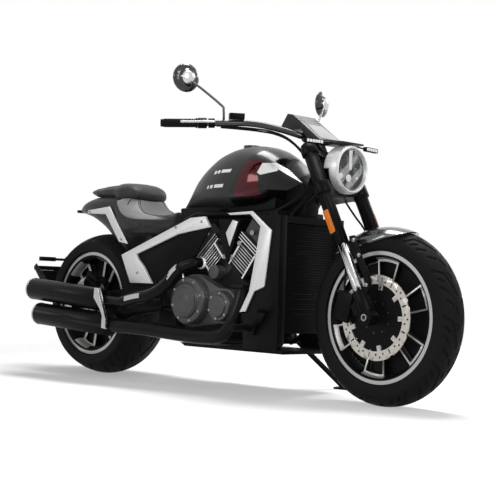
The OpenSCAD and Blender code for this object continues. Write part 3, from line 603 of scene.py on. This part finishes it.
def delete_faces(piece, unwanted):
    """Deletes the faces of a piece that a test picks."""
    select_only(piece)
    for parts in (piece.data.vertices, piece.data.edges):
        parts.foreach_set("select", [False] * len(parts))
    for face in piece.data.polygons:
        face.select = unwanted(face)
    bpy.context.tool_settings.mesh_select_mode = (False, False, True)
    bpy.ops.object.mode_set(mode="EDIT")
    bpy.ops.mesh.delete(type="FACE")
    bpy.ops.object.mode_set(mode="OBJECT")


def finish_piece(piece, name, body, slot, paint=None, smooth=SMOOTH_ANGLE):
    """Shades a finished mesh, paints it and lets it ride on its body."""
    piece.name = name
    piece.data.name = name
    select_only(piece)
    bpy.ops.object.shade_smooth_by_angle(angle=math.radians(smooth))
    piece.data.materials.clear()
    piece.data.materials.append((paint or PAINTS[slot]).material)
    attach(piece, body)


WELD = 0.00002
TUBE_WELD = 0.0003
TUBES = ("mirrors", "handlebar", "levers", "headers")
FLAT_ANGLE = math.radians(0.3)


def dress(node, edge, paint, smooth):
    """A copy of a CAD node that stands for it, with its triangles welded and its sharp edges rounded."""
    piece = bpy.data.objects.new(node + "_dressed", nodes[node].data.copy())
    bpy.context.scene.collection.objects.link(piece)
    select_only(piece)
    edit_all()
    bpy.ops.mesh.remove_doubles(threshold=TUBE_WELD if node in TUBES else WELD)
    if edge:
        bpy.ops.mesh.dissolve_limited(angle_limit=FLAT_ANGLE)
    bpy.ops.object.mode_set(mode="OBJECT")
    if edge:
        round_edges(piece, edge)
    finish_piece(piece, node + "_dressed", body_of[node], slot_of[node], paint, smooth)
    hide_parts(node)


# width in metres of each node's rounded edges, and the angle in degrees up to which its faces shade smooth
EDGES = {"front_wheel": 0.0015, "rear_wheel": 0.0015, "fork_feet": 0.0015, "yokes": 0.0015,
         "front_calipers": 0.003, "headlamp_bezel": 0.001, "dash": 0.003, "front_signals": 0.003,
         "reflectors": 0.004, "swingarm": 0.003, "crankcase": 0.003, "engine_covers": 0.002, "intake": 0.002,
         "front_shrouds": 0.0015, "radiator_shroud": 0.004, "tank_wings": 0.003, "side_trims": 0.002,
         "side_covers": 0.002, "foot_controls": 0.0015, "plate_holder": 0.0012, "hand_controls": 0.002,
         "side_stand": 0.0012, "front_fender": 0.001, "muffler_rings": 0.0008, "tail_lamp": 0.001,
         "grips": 0.001, "rear_pulley": 0.0008}
SMOOTH = {"tank": 50, "tail": 45, "headers": 60, "frame": 50, "handlebar": 60, "mirrors": 50, "levers": 60}
MADE_ANEW = ("front_tyre", "rear_tyre", "seats", "headlamp_lens")


def dress_all():
    for node in sorted(set(nodes) - set(MADE_ANEW)):
        dress(node, EDGES.get(node, 0.0), PAINTS.get(node), SMOOTH.get(node, SMOOTH_ANGLE))


# Modelling tools

def facing(at, toward):
    """A place at a point of the bike, in millimetres, whose local Z looks along a direction."""
    turn = Vector(toward).to_track_quat("Z", "Y").to_matrix().to_4x4()
    return ROW @ Matrix.Translation(Vector(at) * MM) @ turn


def plate_of(corners, push, edge):
    """A flat plate with its corners at points of the bike, thickened by a push, both in millimetres."""
    forget_selection()
    bpy.ops.mesh.primitive_circle_add(vertices=len(corners), radius=0.05, fill_type="NGON")
    piece = bpy.context.object
    for vertex, corner in zip(piece.data.vertices, corners):
        vertex.co = bike(*corner)
    edit_all()
    bpy.ops.mesh.extrude_region_move(TRANSFORM_OT_translate={"value": bike(*push) - bike(0, 0, 0)})
    close_edit()
    round_edges(piece, edge)
    return piece


def slab(outline, y0, y1, edge):
    """A plate drawn in side view as x, z points and stretched from y0 to y1."""
    return plate_of([(x, y0, z) for x, z in outline], (0, y1 - y0, 0), edge)


def slab_across(outline, x0, x1, edge):
    """A plate drawn from the front as y, z points and stretched from x0 to x1."""
    return plate_of([(x0, y, z) for y, z in outline], (x1 - x0, 0, 0), edge)


def turned(rings, place, segments):
    """A turned piece: rings of radius and height, in millimetres, along the local Z of a place."""
    forget_selection()
    first_r, first_h = rings[0]
    bpy.ops.mesh.primitive_circle_add(vertices=segments, radius=first_r * MM, fill_type="NGON",
                                      location=(0, 0, first_h * MM))
    piece = bpy.context.object
    edit_all()
    for (r0, h0), (r1, h1) in zip(rings, rings[1:]):
        bpy.ops.mesh.extrude_region_move(TRANSFORM_OT_translate={"value": (0, 0, (h1 - h0) * MM)})
        bpy.ops.transform.resize(value=(r1 / r0, r1 / r0, 1), center_override=(0, 0, h1 * MM))
    close_edit()
    piece.matrix_world = (place or Matrix.Identity(4)) @ Matrix.Translation((0, 0, first_h * MM))
    bpy.ops.object.transform_apply(location=True, rotation=True, scale=True)
    return piece


def joined(pieces):
    forget_selection()
    for piece in pieces:
        piece.select_set(True)
    bpy.context.view_layer.objects.active = pieces[0]
    bpy.ops.object.join()
    return pieces[0]


def repeated(piece, places):
    """Copies of a piece that was modelled at the origin, one at each place, joined into one mesh."""
    made = []
    for place in places:
        twin = bpy.data.objects.new(piece.name, piece.data.copy())
        twin.data.transform(place)
        bpy.context.scene.collection.objects.link(twin)
        made.append(twin)
    bpy.data.objects.remove(piece)
    return joined(made)


MIRROR = ROW @ Matrix.Scale(-1, 4, (0, 1, 0)) @ ROW.inverted()


def both_sides(piece):
    """The piece and its copy on the other side of the bike, as one mesh."""
    twin = bpy.data.objects.new(piece.name, piece.data.copy())
    twin.data.transform(MIRROR)
    twin.data.flip_normals()
    bpy.context.scene.collection.objects.link(twin)
    return joined([piece, twin])


def cable(points, radius, sides=2):
    """A round cable through points of the bike, in millimetres."""
    curve = bpy.data.curves.new("cable", "CURVE")
    curve.dimensions = "3D"
    curve.bevel_depth = radius * MM
    curve.bevel_resolution = sides
    curve.resolution_u = 6
    curve.use_fill_caps = True
    spline = curve.splines.new("BEZIER")
    spline.bezier_points.add(len(points) - 1)
    for knot, point in zip(spline.bezier_points, points):
        knot.co = bike(*point)
        knot.handle_left_type = "AUTO"
        knot.handle_right_type = "AUTO"
    piece = bpy.data.objects.new("cable", curve)
    bpy.context.scene.collection.objects.link(piece)
    select_only(piece)
    bpy.ops.object.convert(target="MESH")
    return bpy.context.object


# Tyres: the section of each CAD tyre with its tread cut in

def tyre_section(radius, half, crown, rim, across, up_side):
    """Points of the closed tyre section as width and radius: tread first, then wall, inside, wall."""
    middle, side = (radius + rim) / 2 - 3, half + 45

    def wall(r):
        return half - side + math.sqrt(side * side - (r - middle) ** 2)

    def over(w):
        return radius - crown + math.sqrt(crown * crown - w * w)

    edge = half - 0.5
    while wall(over(edge)) < edge:
        edge -= 0.1
    bead = rim + 12.3
    tread = [(-edge + 2 * edge * k / across, over(-edge + 2 * edge * k / across)) for k in range(across + 1)]
    heights = [over(edge) + (bead - over(edge)) * k / up_side for k in range(1, up_side + 1)]
    left = [(wall(r), r) for r in heights]
    inner = [(wall(bead) - 8, bead), (half - 11, middle), (half * 0.55, radius - 16)]
    inner += [(-w, r) for w, r in reversed(inner)]
    right = [(-w, r) for w, r in reversed(left)]
    return tread + left + inner + right


# tread pattern: start and end of each groove, as shares of the pitch and the half width, and its thickness
GROOVES = (((0.00, 0.08), (0.20, 0.30), 0.050), ((0.20, 0.30), (0.46, 0.52), 0.050),
           ((0.46, 0.52), (0.60, 0.93), 0.046), ((0.08, 0.62), (0.22, 0.88), 0.032),
           ((0.62, 0.16), (0.76, 0.30), 0.032), ((0.80, 0.46), (0.92, 0.74), 0.034),
           ((0.34, 0.14), (0.46, 0.26), 0.028), ((0.30, 0.66), (0.40, 0.86), 0.028))
GROOVE_DEPTH = 5.0


def tread_depth(run, width, half, pitch):
    """Depth of the tread's grooves at arrays of places, in millimetres."""
    run = run / pitch + numpy.where(width < 0, 0.5, 0.0)
    run = run - numpy.floor(run)
    width = numpy.abs(width) / half
    depth = numpy.zeros(run.shape)
    scale = half / pitch
    for (s0, w0), (s1, w1), thick in GROOVES:
        for lap in (-1, 0, 1):
            ds, dw = s1 - s0, (w1 - w0) * scale
            along = ((run + lap - s0) * ds + (width - w0) * scale * dw) / (ds * ds + dw * dw)
            along = numpy.clip(along, 0, 1)
            gap = numpy.hypot(run + lap - s0 - along * ds, (width - w0) * scale - along * dw)
            depth = numpy.maximum(depth, numpy.clip((thick * 0.5 - gap) / 0.010 + 0.5, 0, 1))
    return depth * GROOVE_DEPTH


def tread_tyre(node, axle, sizes, around, across, laps):
    """A tyre from a grid rolled round the tyre's section, with the grooves sunk into the tread."""
    radius, half, crown, rim = sizes
    section = tyre_section(radius, half, crown, rim, across, 10)
    forget_selection()
    bpy.ops.mesh.primitive_grid_add(x_subdivisions=around, y_subdivisions=len(section), size=1)
    piece = bpy.context.object
    drawn = numpy.empty(3 * len(piece.data.vertices))
    piece.data.vertices.foreach_get("co", drawn)
    share = drawn.reshape(-1, 3) + 0.5
    turn = numpy.rint(share[:, 0] * around) % around * 2 * math.pi / around
    spot = numpy.rint(share[:, 1] * len(section)).astype(int) % len(section)
    width = numpy.array([w for w, r in section])[spot]
    reach = numpy.array([r for w, r in section])[spot]
    on_tread = spot <= across
    depth = numpy.where(on_tread, tread_depth(turn * radius, width, half, 2 * math.pi * radius / laps), 0)
    slope = width / crown
    reach = reach - depth * numpy.sqrt(numpy.clip(1 - slope * slope, 0.1, 1))
    width = width - depth * slope
    flat = numpy.stack([axle[0] + reach * numpy.cos(turn), width, axle[1] + reach * numpy.sin(turn),
                        numpy.full(turn.shape, 1000.0)]) * MM
    placed = (numpy.array(ROW) @ flat)[:3].T
    piece.data.vertices.foreach_set("co", placed.ravel())
    edit_all()
    bpy.ops.mesh.remove_doubles(threshold=WELD)
    close_edit()
    finish_piece(piece, node + "_tread", body_of[node], "tyre", None, 40)
    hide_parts(node)


# Seats: padded pieces swollen by a short cloth run

PAD_VOXEL, PAD_SHRINK, PAD_CAP = 0.005, 0.003, 0.006
PRESSURE = 4
CLOTH_STEPS = 20


def soften(piece):
    """Swells a closed pad under pressure, with each point held within a cap of where it started."""
    modified(piece, "REMESH", mode="VOXEL", voxel_size=PAD_VOXEL)
    edit_all()
    bpy.ops.mesh.vertices_smooth(factor=0.5, repeat=12)
    bpy.ops.transform.shrink_fatten(value=-PAD_SHRINK)
    bpy.ops.object.mode_set(mode="OBJECT")
    start = [vertex.co.copy() for vertex in piece.data.vertices]
    cloth = piece.modifiers.new("cloth", "CLOTH")
    cloth.settings.use_pressure = True
    cloth.settings.uniform_pressure_force = PRESSURE
    cloth.settings.effector_weights.gravity = 0
    cloth.point_cache.frame_start = 1
    cloth.point_cache.frame_end = CLOTH_STEPS
    for step in range(1, CLOTH_STEPS + 1):
        bpy.context.scene.frame_set(step)
    bpy.ops.object.modifier_apply(modifier=cloth.name)
    bpy.context.scene.frame_set(1)
    for vertex, began in zip(piece.data.vertices, start):
        moved = vertex.co - began
        if moved.length > PAD_CAP:
            vertex.co = began + moved.normalized() * PAD_CAP


def thread_on(piece, plan, radius):
    """A sewn line: points of a plan, in millimetres, dropped onto the top of a pad."""
    down = bike(0, 0, 0) - bike(0, 0, 1)
    points = []
    for x, y in plan:
        hit, at, normal, index = piece.ray_cast(bike(x, y, 1000), down.normalized())
        if hit:
            points.append(ROW.inverted() @ at / MM)
    return cable(points, radius, 1)


# rider's seat in millimetres: its rear edge bows forward in the middle, its rim drops from there to the dish
SEAT_BACK, SEAT_BOW, SEAT_NOSE = 268, 104, 546
SEAT_WIDTHS = ((0, 140), (0.25, 149), (0.5, 150), (0.75, 138), (1, 102))
SEAT_DISH, SEAT_RIM, SEAT_FALL = 722, 98, 36
SEAT_BOTTOM = 640


def seat_top(along, aside):
    """A point of the rider's seat: share of the way to the nose and of the half width."""
    for (a0, w0), (a1, w1) in zip(SEAT_WIDTHS, SEAT_WIDTHS[1:]):
        if along <= a1:
            half = w0 + (w1 - w0) * (along - a0) / (a1 - a0)
            break
    back = SEAT_BACK - SEAT_BOW * aside ** 4
    x = back + (SEAT_NOSE - back) * along
    fall = SEAT_FALL + 44 * aside * aside
    z = SEAT_DISH + SEAT_RIM * math.exp(-((x - back) / fall) ** 1.2)
    z += 26 * max(0, (x - 460) / 86) ** 2
    z += 8 * abs(aside) ** 3 - 26 * abs(aside) ** 9
    return x, aside * half, z


def rider_pad():
    """A grid bent to the seat's top and closed below."""
    forget_selection()
    bpy.ops.mesh.primitive_grid_add(x_subdivisions=48, y_subdivisions=40, size=1)
    pad = bpy.context.object
    for vertex in pad.data.vertices:
        vertex.co = bike(*seat_top(vertex.co.x + 0.5, vertex.co.y * 2))
    edit_all()
    bpy.ops.mesh.extrude_region_move(TRANSFORM_OT_translate={"value": (0, 0, -0.3)})
    bpy.ops.object.mode_set(mode="OBJECT")
    back = ROW.inverted()
    for vertex in pad.data.vertices:
        at = back @ vertex.co / MM
        if vertex.select:
            vertex.co = bike(at.x, at.y * 0.97, SEAT_BOTTOM)
    edit_all()
    close_edit()
    return pad


# pillion pad: x, half width, bottom and top of each section, from its thin rear lip to its tall front
PILLION = ((-117, 34, 838, 848), (-100, 62, 828, 853), (-40, 88, 822, 860), (40, 102, 815, 867),
           (132, 110, 808, 872), (146, 120, 790, 876), (185, 125, 787, 876), (228, 121, 787, 873),
           (258, 112, 787, 864), (276, 98, 791, 850), (285, 76, 800, 834))
PILLION_POWER = 3.2


def pillion_pad():
    """A grid rolled into a tube of rounded boxes, one for each section, and closed at both ends."""
    around = 64
    forget_selection()
    bpy.ops.mesh.primitive_grid_add(x_subdivisions=around, y_subdivisions=len(PILLION) - 1, size=1)
    pad = bpy.context.object
    for vertex in pad.data.vertices:
        x, half, low, high = PILLION[round((vertex.co.y + 0.5) * (len(PILLION) - 1))]
        angle = round((vertex.co.x + 0.5) * around) % around * 2 * math.pi / around
        across, up = math.cos(angle), math.sin(angle)
        size = (abs(across) ** PILLION_POWER + abs(up) ** PILLION_POWER) ** (-1 / PILLION_POWER)
        vertex.co = bike(x, half * size * across, (low + high) / 2 + (high - low) / 2 * size * up)
    edit_all()
    bpy.ops.mesh.remove_doubles(threshold=WELD)
    bpy.ops.mesh.fill_holes(sides=0)
    close_edit()
    return pad


def make_seats():
    rider, pillion = rider_pad(), pillion_pad()
    for pad, name, paint in ((rider, "rider_seat", "rider_seat"), (pillion, "pillion_seat", "seat_leather")):
        soften(pad)
        modified(pad, "SUBSURF", levels=1, render_levels=1)
        finish_piece(pad, name, "chassis", "seat_leather", PAINTS[paint], 80)
        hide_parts("seats")
    sew(rider, pillion)


def band_plan(edge, start, end, steps):
    """Points round one edge of the rider's sewn band, between two angles from straight back."""
    plan = []
    for k in range(steps + 1):
        angle = math.radians(start + (end - start) * k / steps)
        share = edge ** (1 / BAND_POWER)
        along, aside = math.cos(angle), math.sin(angle)
        size = share / (abs(along) ** BAND_POWER + abs(aside) ** BAND_POWER) ** (1 / BAND_POWER)
        plan.append(((BAND_AT[0] - BAND_HALF[0] * size * along) / MM, BAND_HALF[1] * size * aside / MM))
    return plan


def sew(rider, pillion):
    lines = [thread_on(rider, band_plan(edge, -118, 118, 48), 1.1) for edge in BAND_EDGES]
    ring = [(150 + 70 * math.cos(a), 62 * math.sin(a)) for a in [math.radians(10 * k) for k in range(37)]]
    lines.append(thread_on(pillion, ring, 1.1))
    finish_piece(joined(lines), "seat_stitching", "chassis", "seat_leather", PAINTS["plastic_black"], 80)


# Headlamp: a glass dome over a dark bowl with a light bar, three small lamps and a bright ring

LAMP = (1457, 0, 896)
DOME = ((82.2, -11.5), (82.2, -9.6), (76, -8), (62, -4.6), (44, -1.3), (24, 1.0), (6, 1.95))
DOME_WALL = 0.0012
BOWL = ((81.5, -12.2), (81.5, -11.4), (74, -11.2), (70, -11.9), (30, -12.05), (26, -11.0), (3, -10.8))
LAMP_RING = ((81.6, -10.6), (81.6, -9.2), (80.4, -8.6), (79, -9.2), (79, -10.6))
# small lamps: y and z from the middle of the lamp, and radius
SPOTS = ((-56, -27, 11), (-9, -33, 15), (40, -30, 6))


def make_headlamp():
    at = facing(LAMP, (1, 0, 0))
    dome = turned(DOME, at, 64)
    back = bike(-1, 0, 0) - bike(0, 0, 0)
    delete_faces(dome, lambda face: len(face.vertices) > 8 and face.normal.dot(back) > 0)
    modified(dome, "SOLIDIFY", thickness=DOME_WALL)
    finish_piece(dome, "lamp_glass", "steering", "lens")
    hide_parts("headlamp_lens")
    finish_piece(turned(BOWL, at, 48), "lamp_bowl", "steering", "gloss_black", PAINTS["lamp_bowl"])
    x, y, z = LAMP
    bar = slab_across([(y - 7, z), (y - 9, z + 76), (y + 9, z + 76), (y + 7, z)], x - 11.6, x - 8.6, 0.0008)
    finish_piece(bar, "lamp_light_bar", "steering", "lens", PAINTS["lamp_light"])
    spots = [turned([(r, 0), (r, 2.2), (r - 3, 3.6), (3, 4)], facing((x - 11.8, y + a, z + b), (1, 0, 0)), 24)
             for a, b, r in SPOTS]
    finish_piece(joined(spots), "lamp_spots", "steering", "lens", PAINTS["lamp_light"])
    finish_piece(turned(LAMP_RING, at, 64), "lamp_ring", "steering", "chrome")


# Bolts and small metal

def bolt(r, h):
    """A socket bolt standing on the origin along Z."""
    rings = [(r * 1.25, -0.4), (r * 1.25, 0.4 * h), (r, 0.55 * h), (r, h), (r * 0.8, h * 1.08),
             (r * 0.5, h * 1.08), (r * 0.5, h * 0.6)]
    return turned(rings, None, 14)


def ring_of(middle, radius, start, count):
    """Points in side view, spread evenly on a circle from a starting angle in degrees."""
    angles = [math.radians(start + 360 * k / count) for k in range(count)]
    return [(middle[0] + radius * math.cos(a), middle[1] + radius * math.sin(a)) for a in angles]


def on_sides(spots, y, sides=(1, -1)):
    """Places that look outward at x, z spots, at y from the middle of the bike on each side."""
    return [facing((x, y * s, z), (0, s, 0)) for x, z in spots for s in sides]


def make_wheel_bolts():
    bobbins = on_sides(ring_of(FRONT_HUB, 113, 0, 9), 69)
    finish_piece(repeated(bolt(6, 1.6), bobbins), "rotor_bobbins", "front_wheel", "chrome")
    hubs = on_sides(ring_of(FRONT_HUB, 58, 20, 9), 60)
    finish_piece(repeated(bolt(4.5, 4), hubs), "front_hub_bolts", "front_wheel", "bar_metal")
    rear = on_sides(ring_of(REAR_HUB, 64, 0, 6), 121, (-1,))
    finish_piece(repeated(bolt(6, 5), rear), "rear_rotor_bolts", "rear_wheel", "axle_steel")


def make_webs():
    """Black dished webs between the spokes, and the carriers that hold the front rotors."""
    for name, hub, reach, y, body in (("front_web", FRONT_HUB, 213, 0, "front_wheel"),
                                      ("rear_web", REAR_HUB, 200, -22, "rear_wheel")):
        at = facing((hub[0], y, hub[1]), (0, 1, 0))
        web = turned([(46, -10), (110, -10), (reach, -4), (reach, 4), (110, 10), (46, 10)], at, 64)
        finish_piece(web, name, body, "cast_black")
    carrier = [(98, 0), (119, 0.5), (121, 2), (119, 3.6), (98, 4.2)]
    carriers = [turned(carrier, at, 72) for at in on_sides([FRONT_HUB], 60)]
    finish_piece(joined(carriers), "rotor_carriers", "front_wheel", "cast_black")


# black boxes behind the gaps: half width and outline in side view
BOX_EDGE = 0.006
BOXES = {
    "airbox": (84, [(566, 742), (600, 652), (1000, 652), (1130, 720), (1130, 792), (900, 768), (566, 756)]),
    "fan_housing": (138, [(1150, 300), (1198, 300), (1198, 735), (1150, 735)]),
    "neck_cover": (40, [(1130, 700), (1150, 690), (1248, 690), (1258, 740), (1250, 820), (1222, 868),
                        (1130, 800)]),
    "pivot_cover": (100, [(470, 242), (650, 238), (668, 330), (640, 400), (470, 420)])}


def make_inner_boxes():
    for name, (half, outline) in BOXES.items():
        finish_piece(slab(outline, -half, half, BOX_EDGE), name, "chassis", "plastic_black")


CLUTCH = (748, 362)


def make_bolts():
    caps = [(1060, 646), (990, 603), (944, 547), (906, 548), (734, 587), (800, 645)]
    cap = turned([(11, 0), (11, 6), (9, 8), (5, 8), (4, 6.5)], None, 20)
    finish_piece(repeated(cap, on_sides(caps, 133)), "rocker_bolts", "chassis", "axle_steel")
    places = on_sides(ring_of(CLUTCH, 86, 15, 8), 196.4, (-1,))
    places += on_sides(ring_of((928, 345), 52, 20, 6), 186.8, (-1,))
    places += on_sides(ring_of((905, 350), 72, 0, 8), 164.2, (1,))
    finish_piece(repeated(bolt(4.5, 5), places), "cover_bolts", "chassis", "axle_steel")
    places = on_sides([(800, 690), (400, 470), (640, 668)], 174) + on_sides([(0, 746), (236, 618)], 137)
    finish_piece(repeated(bolt(5, 3), places), "trim_bolts", "chassis", "axle_steel")
    arms = [(1640, 452), (1600, 562), (1572, 618), (1625, 424)]
    finish_piece(repeated(bolt(6, 5), on_sides(arms, 116)), "fork_arm_bolts", "steering", "axle_steel")
    rings = [(66, 0), (66, 4), (62, 7), (56, 7), (52, 3), (24, 2.4), (20, 4.5), (3, 5)]
    clutch = turned(rings, facing((CLUTCH[0], -207.6, CLUTCH[1]), (0, -1, 0)), 64)
    finish_piece(clutch, "clutch_ring", "chassis", "engine_grey")


def make_mirror_glass():
    """Mirror glass on the rider's side of each mirror."""
    turn = math.radians(14)
    back = (-math.cos(turn), -math.sin(turn), 0)
    glass = turned([(49, 12.6), (49, 14), (47, 14.6), (3, 14.6)], facing((932, 408, 1245), back), 40)
    finish_piece(both_sides(glass), "mirror_glass", "steering", "chrome")


def sloped_plate(start, end, spots, thick):
    """A plate on the side-view line from start to end, with its corners as run along that line and y."""
    start, end = Vector(start), Vector(end)
    run = (end - start).normalized()
    out = Vector((-run.y, run.x))
    corners = []
    for along, aside in spots:
        spot = start + run * along
        corners.append((spot.x, aside, spot.y))
    return plate_of(corners, (out.x * thick, 0, out.y * thick), 0.0006)


def make_dash_screen():
    """A light panel on the sloping front of the dash and a dark screen on the rider's side."""
    spots = ((70, -40), (70, 40), (150, 54), (176, 54), (176, -54), (150, -54))
    panel = sloped_plate((1195, 1122), (1345, 1014), spots, 2.2)
    finish_piece(panel, "dash_panel", "steering", "silver", PAINTS["dash_panel"])
    spots = ((14, -52), (14, 52), (66, 52), (66, -52))
    screen = sloped_plate((1120, 1062), (1165, 1128), spots, 1.6)
    finish_piece(screen, "dash_screen", "steering", "gloss_black")


def make_signal_lenses():
    front = []
    for row in range(6):
        y0 = 133 + 13.5 * row
        y1 = y0 + 10.5
        x = 1417.3 - 0.1405 * (y0 - 128)
        corners = [(x, y0, 987), (x, y0, 998), (x - 1.5, y1, 998), (x - 1.5, y1, 987)]
        front.append(plate_of(corners, (2, 0, 0), 0.0005))
    finish_piece(both_sides(joined(front)), "front_signal_lenses", "steering", "lens", PAINTS["lamp_light"])
    rear = slab_across([(124, 516), (196, 516), (196, 530), (124, 530)], -294, -296.5, 0.0008)
    finish_piece(both_sides(rear), "rear_signal_lenses", "chassis", "amber")


# routes and radii of two cables and a brake hose on the left, in millimetres
CABLES = (
    (((1000, 300, 1062), (1050, 240, 1060), (1104, 186, 1056), (1156, 140, 1046), (1200, 104, 1024),
      (1262, 72, 968)), 3.6),
    (((1010, 286, 1056), (1062, 226, 1053), (1116, 172, 1047), (1168, 128, 1035), (1212, 96, 1010),
      (1280, 66, 940)), 3.6),
    (((1330, 60, 838), (1362, 66, 790), (1420, 70, 720), (1470, 74, 664), (1500, 84, 600), (1514, 88, 520),
      (1512, 88, 440), (1507, 86, 404)), 4.2))


def make_cables():
    lines = [both_sides(cable(route, radius)) for route, radius in CABLES]
    finish_piece(joined(lines), "cables", "steering", "rubber", None, 80)


# upper pipe's shield: route of its middle, then bright inserts as start and end along x
SHIELD = ((708, -195, 495), (694, -199, 486), (640, -214, 424), (570, -230, 380), (470, -243, 358),
          (400, -249, 341))
SHIELD_WALL = 0.0014
INSERTS = ((438, 520), (668, 704))


def shield_strip(low, high, radius, slant):
    """The outward part of a tube along the shield's route, between two values of x."""
    strip = cable(SHIELD, radius, 10)
    outward = (bike(0, -0.94, 0.34) - bike(0, 0, 0)).normalized()
    back = ROW.inverted()

    def unwanted(face):
        return face.normal.dot(outward) < slant or not low < (back @ face.center).x / MM < high

    delete_faces(strip, unwanted)
    modified(strip, "SOLIDIFY", thickness=SHIELD_WALL, offset=0)
    return strip


def make_heat_shield():
    """A black shield round the outer half of the upper pipe, with two bright inserts."""
    finish_piece(shield_strip(380, 720, 26.5, -0.1), "heat_shield", "chassis", "exhaust_black", None, 40)
    inserts = [shield_strip(low, high, 27.6, 0.93) for low, high in INSERTS]
    finish_piece(joined(inserts), "shield_inserts", "chassis", "chrome", None, 40)


def make_details():
    tread_tyre("front_tyre", FRONT_HUB, (332, 65, 75, 241), 900, 56, 11)
    tread_tyre("rear_tyre", REAR_HUB, (324.6, 120, 190, 228.6), 840, 90, 8)
    make_seats()
    make_headlamp()
    make_wheel_bolts()
    make_webs()
    make_inner_boxes()
    make_bolts()
    make_mirror_glass()
    make_dash_screen()
    make_signal_lenses()
    make_cables()
    make_heat_shield()


make_camera()
make_light()
make_floor()
make_paints()
dress_all()
make_details()

scene = bpy.context.scene
scene.view_settings.view_transform = "Standard"
